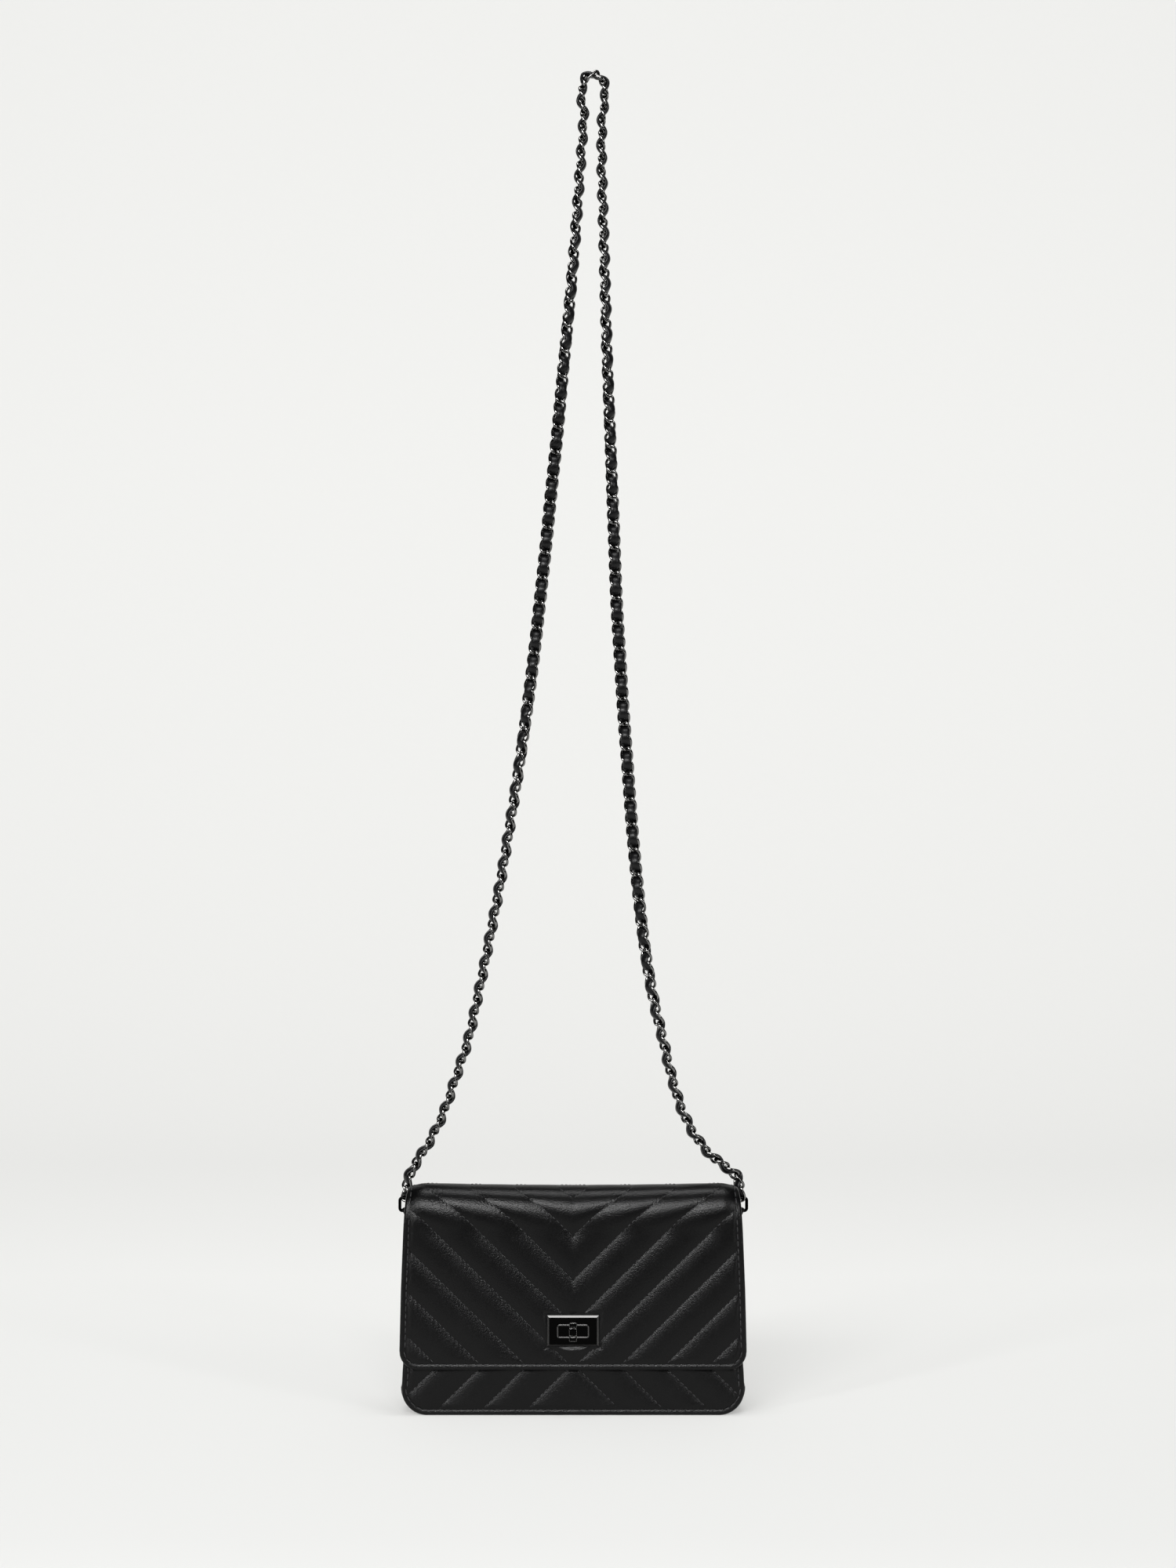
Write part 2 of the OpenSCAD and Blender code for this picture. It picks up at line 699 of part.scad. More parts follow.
// The flap's layer between two depths below its outer face
module flap_band(depth, inner_depth, edge_z) {
    translate([fold_y, flap_top_z - inner_depth])
        square([hinge_y - flap_t / 2 - clear - fold_y, inner_depth - depth]);
    translate([flap_face_y + depth, edge_z])
        square([inner_depth - depth, fold_z - edge_z]);
    translate([fold_y, fold_z])
        intersection() {
            difference() {
                circle(r = flap_fold_r - depth, $fn = round_fn);
                circle(r = flap_fold_r - inner_depth, $fn = round_fn);
            }
            translate([-flap_fold_r, 0]) square([flap_fold_r, flap_fold_r]);
        }
}
module flap_cut(inset) {
    intersection() {
        children();
        upright(flap_outline(inset), flap_face_y - cut, back_y + cut);
        linear_extrude(height = flap_top_z + cut) polygon(flap_plan(inset));
    }
}
module flap_padding_block(inner_depth) {
    flap_cut(flap_padding_inset)
        along_x(flap_w)
            flap_band(flap_skin_t, inner_depth, flap_edge_h);
}
module flap_outer() {
    color("#1d1d1f")
        difference() {
            flap_cut(0)
                along_x(flap_w)
                    union() {
                        flap_band(0, flap_core_t, flap_edge_h);
                        translate([hinge_y, hinge_z]) circle(d = flap_t, $fn = round_fn);
                        translate([hinge_y - flap_t / 2 - clear, flap_top_z - flap_core_t])
                            square([flap_t / 2 + clear, flap_core_t]);
                    }
            flap_padding_block(flap_core_t + cut);
            for (x = [-post_gap / 2, post_gap / 2])
                across(post_r, x, lock_z, flap_face_y - cut, skin_inner_y + cut);
            across(spindle_r + spindle_clear, 0, lock_z, flap_face_y - cut, skin_inner_y + cut);
        }
}
module flap_padding() {
    color("#4a4a4c")
        difference() {
            flap_padding_block(flap_core_t);
            translate([-back_plate_w / 2, skin_inner_y - cut, lock_z - back_plate_h / 2])
                cube([back_plate_w, cut + back_plate_t + clench_t + clear, back_plate_h]);
            across(snap_r, 0, snap_h, flap_inner_y - socket_t, flap_inner_y);
        }
}
module flap_lining() {
    color("#2a2a2c")
        difference() {
            flap_cut(0)
                along_x(flap_w)
                    flap_band(flap_core_t, flap_t, flap_edge_h);
            across(snap_r, 0, snap_h, flap_inner_y - socket_t, flap_inner_y + cut);
        }
}

// A plate with a bevel on all four sides of its face
module bevelled_plate(w, h, t, bevel) {
    module side_profile(l) {
        polygon([[-l / 2, 0], [l / 2, 0], [l / 2, t - bevel], [l / 2 - bevel, t], [bevel - l / 2, t],
            [-l / 2, t - bevel]]);
    }
    rotate([90, 0, 0])
        intersection() {
            rotate([90, 0, 0]) linear_extrude(height = h, center = true) side_profile(w);
            rotate([90, 0, 90]) linear_extrude(height = w, center = true) side_profile(h);
        }
}
module lock_holes(y_low, y_high) {
    for (x = [-post_gap / 2, post_gap / 2])
        across(post_r, x, lock_z, y_low, y_high);
    across(spindle_r + spindle_clear, 0, lock_z, y_low, y_high);
}
module lock_plate() {
    color("#4b4a4d")
        difference() {
            translate([0, flap_face_y, lock_z]) bevelled_plate(lock_w, lock_h, lock_t, lock_bevel);
            across(spindle_r + spindle_clear, 0, lock_z, lock_face_y - cut, flap_face_y + cut);
        }
}
module soft_rectangle(w, h, r) {
    corners = [[-w / 2, -h / 2], [w / 2, -h / 2], [w / 2, h / 2], [-w / 2, h / 2]];
    polygon(rounded(corners, [r, r, r, r]));
}
module lock_slot_frame() {
    color("#5d5c5e")
        translate([0, lock_face_y, lock_z])
            rotate([90, 0, 0])
                linear_extrude(height = slot_t)
                    difference() {
                        soft_rectangle(slot_w, slot_h, slot_corner_r);
                        soft_rectangle(slot_w - 2 * slot_rim, slot_h - 2 * slot_rim, slot_inner_r);
                    }
}
module lock_back_plate() {
    color("#6b6a6c")
        difference() {
            translate([-back_plate_w / 2, skin_inner_y, lock_z - back_plate_h / 2])
                cube([back_plate_w, back_plate_t, back_plate_h]);
            lock_holes(skin_inner_y - cut, plate_inner_y + cut);
        }
}
module lock_posts() {
    color("#6b6a6c")
        for (x = [-post_gap / 2, post_gap / 2]) {
            across(post_r, x, lock_z, flap_face_y, plate_inner_y + clench_t);
            across(post_head_r, x, lock_z, plate_inner_y, plate_inner_y + clench_t);
        }
}
module turn_toggle() {
    middle_l = toggle_l - 2 * toggle_cap_l - 2 * toggle_groove;
    color("#5d5c5e")
        translate([0, toggle_back_y, lock_z])
            rotate([90, 0, 0])
                union() {
                    linear_extrude(height = toggle_core_t)
                        square([toggle_core_w, toggle_l - toggle_cap_l], center = true);
                    linear_extrude(height = toggle_t)
                        soft_rectangle(toggle_w, middle_l, toggle_corner_r / 2);
                    for (side = [-1, 1])
                        translate([0, side * (toggle_l - toggle_cap_l) / 2, 0])
                            linear_extrude(height = toggle_t)
                                soft_rectangle(toggle_w, toggle_cap_l, toggle_corner_r);
                }
}
module toggle_spindle() {
    color("#6b6a6c")
        across(spindle_r, 0, lock_z, toggle_back_y, plate_inner_y + clench_t);
}
module spindle_washer() {
    gap = spindle_clear;
    color("#6b6a6c")
        difference() {
            across(washer_r, 0, lock_z, plate_inner_y + gap, plate_inner_y + clench_t);
            across(spindle_r, 0, lock_z, plate_inner_y - cut, plate_inner_y + clench_t + cut);
        }
}

// The strap's route as points in the XZ plane
route_low_z = pivot_z - ring_wire_r - link_gap / 2;
route_points = [for (share = route_shares) [share[0] * ring_x, route_low_z + share[1] * strap_rise]];
function route_slope(i) =
    let (
        last = len(route_points) - 1,
        before = route_points[max(i, 1)] - route_points[max(i, 1) - 1],
        after = route_points[min(i + 1, last)] - route_points[min(i + 1, last) - 1]
    )
    (before / norm(before) * norm(after) + after / norm(after) * norm(before)) / (norm(before) + norm(after));
function route_between(i, t) =
    let (
        a = route_points[i],
        b = route_points[i + 1],
        l = norm(b - a),
        bend = t * t * (3 - 2 * t)
    )
    a + (b - a) * bend + l * route_slope(i) * t * (1 - t) * (1 - t)
        - l * route_slope(i + 1) * t * t * (1 - t);
route_line = concat(
    [for (i = [0:len(route_points) - 2]) for (step = [0:route_steps - 1])
        route_between(i, step / route_steps)],
    [route_points[len(route_points) - 1]]
);
route_length_at = [for (i = 0, l = 0; i < len(route_line);
    i = i + 1, l = l + (i < len(route_line) ? norm(route_line[i] - route_line[i - 1]) : 0)) l];
route_length = route_length_at[len(route_line) - 1];
route_x = [for (i = [0:len(route_line) - 1]) [route_length_at[i], route_line[i][0]]];
route_z = [for (i = [0:len(route_line) - 1]) [route_length_at[i], route_line[i][1]]];
link_pitch = route_length / links;
link_mid_r = (link_w - link_wire) / 2;
link_straight = link_pitch + link_wire + link_gap - 2 * link_mid_r;

// A place on the route, counted in links from the left ring
function route_at(count) = [lookup(count * link_pitch, route_x), lookup(count * link_pitch, route_z)];
function twist_at(count) = lookup(count / links, twist_shares);
function course(count) = unit(route_at(min(count + 1 / 2, links)) - route_at(max(count - 1 / 2, 0)));
function heading(run) = atan2(run[0], run[1]);

// Neighbouring links reach past the joint between them
link_reach = (link_wire + link_gap) / 2;
function link_low(i) = route_at(i) - link_reach * course(i);
function link_high(i) = route_at(i + 1) + link_reach * course(i + 1);
function link_middle(i) = (link_low(i) + link_high(i)) / 2;

// One link, lying in the YZ plane with its length along Z
module link() {
    for (side = [-1, 1]) {
        translate([0, 0, side * link_straight / 2])
            rotate([side * 90, 0, 90])
                rotate_extrude(angle = 180, $fn = round_fn)
                    translate([link_mid_r, 0]) circle(d = link_wire, $fn = round_fn);
        translate([0, side * link_mid_r, -link_straight / 2])
            cylinder(d = link_wire, h = link_straight, $fn = round_fn);
    }
}
module chain(first, last) {
    color("#4b4a4d")
        for (i = [first:last]) {
            middle = link_middle(i);
            translate([middle[0], pivot_y, middle[1]])
                rotate([0, heading(link_high(i) - link_low(i)), 0])
                    rotate([0, 0, twist_at(i + 1 / 2) + (i % 2 == 0 ? link_turn : -link_turn)])
                        link();
        }
}
top_links = 4;
highest = [for (i = [0:len(route_line) - 1]) if (route_line[i][1] == max([for (p = route_line) p[1]])) i][0];
top_first = round(route_length_at[highest] / link_pitch) - top_links / 2;
module chain_left() {
    chain(0, top_first - 1);
}
module chain_top() {
    chain(top_first, top_first + top_links - 1);
}
module chain_right() {
    chain(top_first + top_links, links - 1);
}

// The lace weaves from the front to the back of the chain at each joint of two links
function along(count) = [course(count)[0], 0, course(count)[1]];
function outward(count) =
    let (a = heading(course(count)), t = twist_at(count))
    [sin(t) * cos(a), -cos(t), -sin(t) * sin(a)];
function lace_middle(count) =
    let (i = min(floor(count), links - 1))
    route_at(count) + (link_middle(i) - route_at(i + 1 / 2)) * sin(180 * (count - i)) / 2;
function lace_centre(count) =
    let (p = lace_middle(count))
    [p[0], pivot_y, p[1]] + outward(count) * lace_swing * cos(180 * count);
function lace_section(count) =
    let (
        reach = 1 / lace_steps / 2,
        middle = lace_centre(count),
        run = unit(lace_centre(count + reach) - lace_centre(count - reach)),
        wide = unit(cross(along(count), outward(count))),
        thick = cross(wide, run)
    )
    [for (corner = [[-1, -1], [1, -1], [1, 1], [-1, 1]])
        middle + wide * corner[0] * lace_w / 2 + thick * corner[1] * lace_t / 2];
module woven_lace() {
    sections = (links - 1) * lace_steps;
    points = [for (i = [0:sections]) each lace_section(0.5 + i / lace_steps)];
    sides = [for (i = [0:sections - 1]) for (k = [0:3])
        let (a = 4 * i + k, b = 4 * i + (k + 1) % 4)
        each [[a, b, b + 4], [a, b + 4, a + 4]]];
    last = 4 * sections;
    ends = [[0, 2, 1], [0, 3, 2], [last, last + 1, last + 2], [last, last + 2, last + 3]];
    color("#232325")
        polyhedron(points, concat(sides, ends));
}

back_panel();
back_padding();
back_board();
back_lining();
back_top_binding();
front_panel();
front_padding();
front_board();
front_lining();
front_top_binding();
base_strip();
left_gusset();
right_gusset();
card_backing();
card_slots_upper();
card_slots_middle();
card_slots_lower();
zip_pocket();
zip_tapes();
zip_teeth();
zip_stops();
zip_slider();
zip_pull();
snap_stud();
snap_socket();
strap_tab_left();
strap_tab_right();
strap_ring_left();
strap_ring_right();
tab_rivets();
flap_outer();
flap_padding();
flap_lining();
lock_plate();
lock_slot_frame();
lock_back_plate();
lock_posts();
turn_toggle();
toggle_spindle();
spindle_washer();
chain_left();
chain_top();
chain_right();
woven_lace();
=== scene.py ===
"""Looks of the chain shoulder bag: quilted leather, chain strap with a woven lace, turn lock."""

import math

import bpy
import numpy as np
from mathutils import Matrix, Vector


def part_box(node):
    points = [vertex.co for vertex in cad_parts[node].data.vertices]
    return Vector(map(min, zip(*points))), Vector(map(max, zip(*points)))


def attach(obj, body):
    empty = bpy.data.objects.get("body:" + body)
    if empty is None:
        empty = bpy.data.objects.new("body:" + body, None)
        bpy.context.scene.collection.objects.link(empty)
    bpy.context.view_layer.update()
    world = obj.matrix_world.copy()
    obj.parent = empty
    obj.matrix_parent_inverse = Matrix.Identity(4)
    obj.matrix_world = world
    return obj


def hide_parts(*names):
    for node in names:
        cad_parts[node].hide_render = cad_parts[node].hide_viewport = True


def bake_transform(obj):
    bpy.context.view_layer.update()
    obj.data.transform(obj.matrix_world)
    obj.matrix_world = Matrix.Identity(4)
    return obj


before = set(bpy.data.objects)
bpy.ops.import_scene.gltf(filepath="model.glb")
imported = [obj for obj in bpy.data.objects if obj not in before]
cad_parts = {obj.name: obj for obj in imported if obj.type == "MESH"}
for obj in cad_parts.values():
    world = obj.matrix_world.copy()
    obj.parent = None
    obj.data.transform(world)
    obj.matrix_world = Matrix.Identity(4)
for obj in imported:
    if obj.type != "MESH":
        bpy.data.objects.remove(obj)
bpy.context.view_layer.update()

MM = 0.001

# Sizes of the body and the flap, in millimetres
BODY_W = 192.0
BODY_TOP_W = 180.0
BODY_H = 121.0
BODY_CORNER_R = 15.0
BACK_CORNER_R = 6.0
FRONT_H = 108.0
FACE_Y = 17.0
FRONT_Y = -12.2
FLAP_T = 4.2
FLAP_EDGE_H = 26.0
FLAP_CORNER_R = 10.5
FOLD_DEPTH = 12.0
FOLD_RISE = 20.0
TOP_Z = 125.5
HINGE_Y = 14.9
HINGE_Z = 123.4
HINGE_R = 2.1
LOCK_Z = 48.0
LOCK_HALF_W = 14.25
LOCK_HALF_H = 8.5
SNAP_R = 7.0
SLOT_RIM = 1.0
SLOT_BEND_R = 1.0

# Rolled edges: their radius, the fold behind them and the stitch line in front of them
EDGE_R = 1.5
LIP = 3.0
ROLL_STEPS = 7
EDGE_STITCH = 1.5
EDGE_SWELL = 0.34
EDGE_SLOPE = 3.4

# Quilting: V lines at about 45 degrees, and the place where the pattern turns over
QUILT_RISE = 0.985
QUILT_STEP = 24.35
QUILT_APEX = 2.7
QUILT_TURN = 133.5
FRONT_APEX = 28.7
PUFF = 1.2
SEAM_DEPTH = 0.5
PUCKER = 0.05
CREST_PRESS_SHARE = 0.85
FLAP_PRESS_SHARE = 0.62

# Threads: short stitches along the quilting, long ones along the edges
STITCH_PITCH = 3.2
STITCH_LENGTH = 2.3
STITCH_R = 0.3
STITCH_SINK = 0.06
STITCH_ARCH = 0.14
EDGE_PITCH = 4.0
EDGE_LENGTH = 3.28
EDGE_THREAD_R = 0.36
EDGE_LIFT = 0.05
LINE_START = 0.4
LINE_STEPS = 140

# The crest: how much longer the pattern is there, its lift, the dome of its padding and its sag
FOLD_STRETCH = 5.0
CREST_LIFT = 0.9
DOME_RISE = 2.7
SAG = 1.3
SAG_HALF_W = 92.0

# Where metal presses the padding flat: the depth, and the width of the slope beside the metal
PRESS_DEPTH = 0.15
LOCK_SLOPE = 2.8
SNAP_MARGIN = 0.4
SNAP_SLOPE = 3.5


# Meshes
def finish_mesh(name, verts, faces, material, normals=None):
    """A smooth object from points in millimetres, with its own normals where they are given."""
    mesh = bpy.data.meshes.new(name)
    mesh.from_pydata([tuple(np.asarray(v, float) * MM) for v in verts], [], faces)
    mesh.validate()
    mesh.update()
    for polygon in mesh.polygons:
        polygon.use_smooth = True
    obj = bpy.data.objects.new(name, mesh)
    bpy.context.collection.objects.link(obj)
    mesh.materials.append(material)
    if normals is not None:
        mesh.normals_split_custom_set_from_vertices([tuple(n) for n in normals])
    return obj


def unit(v):
    v = np.asarray(v, float)
    return v / np.maximum(np.linalg.norm(v, axis=-1, keepdims=True), 1e-12)


def grid_quads(rows, columns, start=0, closed_rows=False, closed_columns=False, flip=False):
    """Faces of a grid of rows by columns vertices."""
    faces = []
    for i in range(rows if closed_rows else rows - 1):
        for j in range(columns if closed_columns else columns - 1):
            a = start + i * columns + j
            b = start + i * columns + (j + 1) % columns
            c = start + (i + 1) % rows * columns + (j + 1) % columns
            d = start + (i + 1) % rows * columns + j
            faces.append((a, d, c, b) if flip else (a, b, c, d))
    return faces


def closed_tube(rows, columns, start=0):
    """Faces of a tube of rows of columns vertices, with a face across each end."""
    last = start + (rows - 1) * columns
    faces = grid_quads(rows, columns, start, closed_columns=True)
    faces.append(tuple(range(start, start + columns))[::-1])
    faces.append(tuple(range(last, last + columns)))
    return faces


def grid_normals(p):
    """Normals of a grid of points, rows by columns by 3."""
    return unit(np.cross(np.gradient(p, axis=1), np.gradient(p, axis=0)))


def surface_normals(surface, u, v, step=0.05):
    """Normals of a surface given as a function of two places."""
    along = surface(u + step, v) - surface(u - step, v)
    upwards = surface(u, v + step) - surface(u, v - step)
    return unit(np.cross(along, upwards))


def rim_sides(rows, columns):
    """Indices of a grid's low, right, high and left side, in order round its rim."""
    index = np.arange(rows * columns).reshape(rows, columns)
    return [side.tolist() for side in (index[0], index[:, -1], index[-1, ::-1], index[::-1, 0])]


def ring_of(rows, columns):
    """Indices of a grid's rim, in order."""
    return [i for side in rim_sides(rows, columns) for i in side[:-1]]


def edged_sheet(name, points, normals, rims, closed=False):
    """A sheet of quilted leather from a grid of points, with rolled edges along its rims."""
    rows, columns, _ = points.shape
    flat, flat_normals = points.reshape(-1, 3), normals.reshape(-1, 3)
    verts, vert_normals = [flat], [flat_normals]
    faces = grid_quads(rows, columns)
    start = len(flat)
    for rim in rims:
        p, n = flat[rim], flat_normals[rim]
        run = np.roll(p, -1, axis=0) - np.roll(p, 1, axis=0) if closed else np.gradient(p, axis=0)
        out = unit(np.cross(unit(run), n))
        before = rim
        for k in range(1, ROLL_STEPS + 2):
            a = math.pi * min(k, ROLL_STEPS) / ROLL_STEPS
            inwards = LIP if k > ROLL_STEPS else 0
            verts.append(p + out * (EDGE_R * math.sin(a) - inwards) - n * EDGE_R * (1 - math.cos(a)))
            vert_normals.append(n * math.cos(a) + out * math.sin(a))
            now = list(range(start, start + len(rim)))
            start += len(rim)
            last = len(rim) if closed else len(rim) - 1
            for m in range(last):
                q = (m + 1) % len(rim)
                faces.append((before[m], now[m], now[q], before[q]))
            before = now
        if closed:
            faces.append(tuple(before))
    verts, vert_normals = np.concatenate(verts), np.concatenate(vert_normals)
    return finish_mesh(name, verts, faces, QUILTED, vert_normals)


def thick_sheet(name, grid, half_t, material):
    """A closed layer of even thickness round a grid of points."""
    rows, columns, _ = grid.shape
    half = grid_normals(grid) * half_t
    count = rows * columns
    verts = np.concatenate([(grid + half).reshape(-1, 3), (grid - half).reshape(-1, 3)])
    faces = grid_quads(rows, columns) + grid_quads(rows, columns, count, flip=True)
    rim = ring_of(rows, columns)
    for k, low in enumerate(rim):
        high = rim[(k + 1) % len(rim)]
        faces.append((low, low + count, high + count, high))
    return finish_mesh(name, verts, faces, material)


def swept(name, path, wide, thick, section, material):
    """A closed section of (wide, thick) offsets swept along a path."""
    verts = []
    for k, p in enumerate(path):
        verts += [p + wide[k] * a + thick[k] * b for a, b in section(k)]
    return finish_mesh(name, verts, closed_tube(len(path), len(section(0))), material)


def oval(half_w, half_t, count, power):
    """Points of a rounded flat section, squarer for a higher power."""
    ring = []
    for a in np.linspace(0, 2 * math.pi, count, endpoint=False):
        c, s = math.cos(a), math.sin(a)
        r = (abs(c) ** power + abs(s) ** power) ** (-1 / power)
        ring.append((half_w * r * c, half_t * r * s))
    return ring


def smoothed(line, passes):
    """The line with its bends made softer."""
    for _ in range(passes):
        line[1:-1] = (line[:-2] + 2 * line[1:-1] + line[2:]) / 4
    return line


def lengths_along(line):
    """Length from a line's start to each of its points."""
    return np.concatenate([[0], np.cumsum(np.linalg.norm(np.diff(line, axis=0), axis=1))])


def on_line(line, places, place):
    """Where place is on a line whose points are at places."""
    return np.stack([np.interp(place, places, values) for values in line.T], -1)


def fine_line(keys, steps):
    """A line through key points, with more points between them."""
    keys = np.asarray(keys, float)
    return on_line(keys, np.arange(len(keys)), np.linspace(0, len(keys) - 1, steps))


def rise(value, low, high):
    """0 below low, 1 above high, with a soft climb between them."""
    t = np.clip((value - low) / (high - low), 0, 1)
    return t * t * (3 - 2 * t)


# Materials
def joined(tree, kind, inputs, output=0, **settings):
    """The output of a new node. Its inputs are values or the outputs of other nodes."""
    node = tree.nodes.new("ShaderNode" + kind)
    for name, value in settings.items():
        setattr(node, name, value)
    for name, value in inputs.items():
        if isinstance(value, bpy.types.NodeSocket):
            tree.links.new(value, node.inputs[name])
        else:
            node.inputs[name].default_value = value
    return node.outputs[output]


def noise(tree, place, scale, detail=3.0):
    return joined(tree, "TexNoise", {"Scale": scale, "Detail": detail, "Vector": place}, "Fac")


def stretched(tree, place, scale):
    return joined(tree, "Mapping", {"Scale": scale, "Vector": place}, "Vector")


def spanned(tree, value, low, high, start=0.0, end=1.0):
    """A value between start and end, spread between low and high."""
    ends = {"From Min": start, "From Max": end, "To Min": low, "To Max": high}
    return joined(tree, "MapRange", {**ends, "Value": value}, "Result")


def combined(tree, operation, *values):
    """Values put together by one operation."""
    return joined(tree, "Math", dict(enumerate(values)), operation=operation)


def mixed(tree, share, first, second):
    """A colour between two others."""
    inputs = {"A": (*first, 1), "B": (*second, 1), "Factor": share}
    return joined(tree, "Mix", inputs, "Result", data_type="RGBA")


def new_material(name, color, roughness):
    material = bpy.data.materials.new(name)
    material.use_nodes = True
    shader = material.node_tree.nodes["Principled BSDF"]
    shader.inputs["Base Color"].default_value = (*color, 1)
    shader.inputs["Roughness"].default_value = roughness
    place = joined(material.node_tree, "TexCoord", {}, "Object")
    return material, material.node_tree, shader, place


def add_relief(tree, shader, height, strength, distance):
    inputs = {"Strength": strength, "Distance": distance, "Height": height}
    tree.links.new(joined(tree, "Bump", inputs, "Normal"), shader.inputs["Normal"])


def vary_roughness(tree, shader, source, low, high):
    tree.links.new(spanned(tree, source, low, high), shader.inputs["Roughness"])


def vary_color(tree, shader, source, color, low, high):
    tint = mixed(tree, source, [c * low for c in color], [c * high for c in color])
    tree.links.new(tint, shader.inputs["Base Color"])


# Cells, pores, creases and changes of shine per metre of leather, and the depth of its grain in metres
CELLS = 1512.0
PORES = 2100.0
CREASES = 1260.0
SHINE_CHANGES = 84.0
GRAIN_DEPTH = 0.00013


def leather(name, color, roughness, bump, shine):
    """Leather with a fine grain: pebbled cells, pores, short creases and a slow change of shine."""
    material, tree, shader, place = new_material(name, color, roughness)
    shader.inputs["Specular IOR Level"].default_value = shine
    inputs = {"Scale": CELLS, "Smoothness": 0.5, "Vector": place}
    cells = joined(tree, "TexVoronoi", inputs, "Distance", feature="SMOOTH_F1")
    pores = noise(tree, place, PORES, 2)
    creases = noise(tree, stretched(tree, place, (0.6, 1, 1)), CREASES, 2)
    slow = noise(tree, place, SHINE_CHANGES, 2)
    height = combined(tree, "MULTIPLY_ADD", pores, 0.35, cells)
    height = combined(tree, "MULTIPLY_ADD", creases, 0.35, height)
    add_relief(tree, shader, height, bump, GRAIN_DEPTH)
    vary_roughness(tree, shader, slow, roughness - 0.04, roughness + 0.05)
    vary_color(tree, shader, slow, color, 0.85, 1.15)
    return material


def metal(name, color, roughness, scratch=0.05):
    """Polished metal with faint scratches and a slow change of shine."""
    material, tree, shader, place = new_material(name, color, roughness)
    shader.inputs["Metallic"].default_value = 1.0
    lines = noise(tree, stretched(tree, place, (1, 1, 14)), 900)
    slow = noise(tree, place, 130)
    add_relief(tree, shader, lines, scratch, 0.00005)
    vary_roughness(tree, shader, slow, max(roughness - 0.05, 0.03), roughness + 0.08)
    return material


def woven(name, color, threads=1700.0, roughness=0.85, sheen=0.2):
    """Fine woven cloth: two crossed sets of threads."""
    material, tree, shader, place = new_material(name, color, roughness)
    shader.inputs["Sheen Weight"].default_value = sheen
    inputs = {"Scale": threads, "Distortion": 0.6, "Vector": place}
    waves = [joined(tree, "TexWave", inputs, "Fac", bands_direction=axis) for axis in ("X", "Z")]
    weave = combined(tree, "MULTIPLY", *waves)
    add_relief(tree, shader, weave, 0.5, 0.0001)
    vary_color(tree, shader, weave, color, 0.7, 1.3)
    return material


QUILTED = leather("quilted_black", (0.001, 0.001, 0.0011), roughness=0.29, bump=0.6, shine=0.19)
TRIM = leather("trim_black", (0.0018, 0.0018, 0.002), roughness=0.32, bump=0.3, shine=0.15)
INNER = leather("inner_black", (0.01, 0.01, 0.011), roughness=0.45, bump=0.3, shine=0.18)
LACE = leather("lace_black", (0.0036, 0.0036, 0.004), roughness=0.32, bump=0.25, shine=0.25)
LINING = woven("lining_cloth", (0.018, 0.018, 0.02))
TAPE = woven("zip_tape_cloth", (0.008, 0.008, 0.009), threads=2600)
THREAD = woven("thread_black", (0.017, 0.017, 0.018), threads=3800, roughness=0.3, sheen=0.0)
LOCK_METAL = metal("black_lock", (0.003, 0.003, 0.003), roughness=0.06, scratch=0.02)
# Lighter copies of the black lock metal for the plate's rim, the slot frame and the toggle's sides: painted
# highlights.
LOCK_HIGHLIGHT_METAL = metal("lock_rim_painted_highlight", (0.075, 0.074, 0.073), roughness=0.14, scratch=0.02)
TOGGLE_HIGHLIGHT_METAL = metal("toggle_edge_painted_highlight", (0.3, 0.297, 0.292), roughness=0.24, scratch=0.02)
DARK_METAL = metal("gunmetal", (0.22, 0.217, 0.213), roughness=0.16)
CHAIN_METAL = metal("gunmetal_chain", (0.2, 0.198, 0.195), roughness=0.09)
PLAIN_METAL = metal("plain_steel", (0.45, 0.45, 0.46), roughness=0.32, scratch=0.15)


# Outline of the body
def half_width(z):
    return BODY_W / 2 - (BODY_W - BODY_TOP_W) / 2 * z / BODY_H


def corner_drop(distance, r):
    """How far a round corner of radius r has risen at a distance from the side."""
    inside = np.clip(r - distance, 0, r)
    return r - np.sqrt(np.maximum(r * r - inside * inside, 0))


def spread(count, crowd=0.55):
    """Shares from -1 to 1 that crowd together towards both ends."""
    a = np.linspace(-1, 1, count)
    return (1 - crowd) * a + crowd * np.sin(a * math.pi / 2)


# Quilting. On the fold the pattern is stretched: heights on the skin and their places in the pattern
PLAIN_S = np.linspace(0, 300, 1201)
QUILT_S = PLAIN_S + FOLD_STRETCH * rise(PLAIN_S, 108, 128)
TURN_S = float(np.interp(QUILT_TURN, QUILT_S, PLAIN_S))


def channel(q):
    """Height of a puffed strip by q, its place between two stitch lines."""
    d = np.abs((q + 0.5) % 1.0 - 0.5) * 2
    return np.clip(1 - (1 - d) ** 2.1, 0, 1) ** 0.88


def puckers(q, x):
    """Small gathers of the leather between the stitches, beside each stitch line."""
    near = np.clip(1 - np.abs((q + 0.5) % 1.0 - 0.5) * 6, 0, 1)
    along = x * math.hypot(1, QUILT_RISE) / STITCH_PITCH
    return near * np.cos(2 * math.pi * along)


def flap_place(x, s):
    s = np.interp(s, PLAIN_S, QUILT_S)
    turned = np.where(s > QUILT_TURN, 2 * QUILT_TURN - s, s)
    return (turned - QUILT_RISE * np.abs(x) - QUILT_APEX) / QUILT_STEP


def front_place(x, z):
    return (z + QUILT_RISE * np.abs(x) - FRONT_APEX) / QUILT_STEP


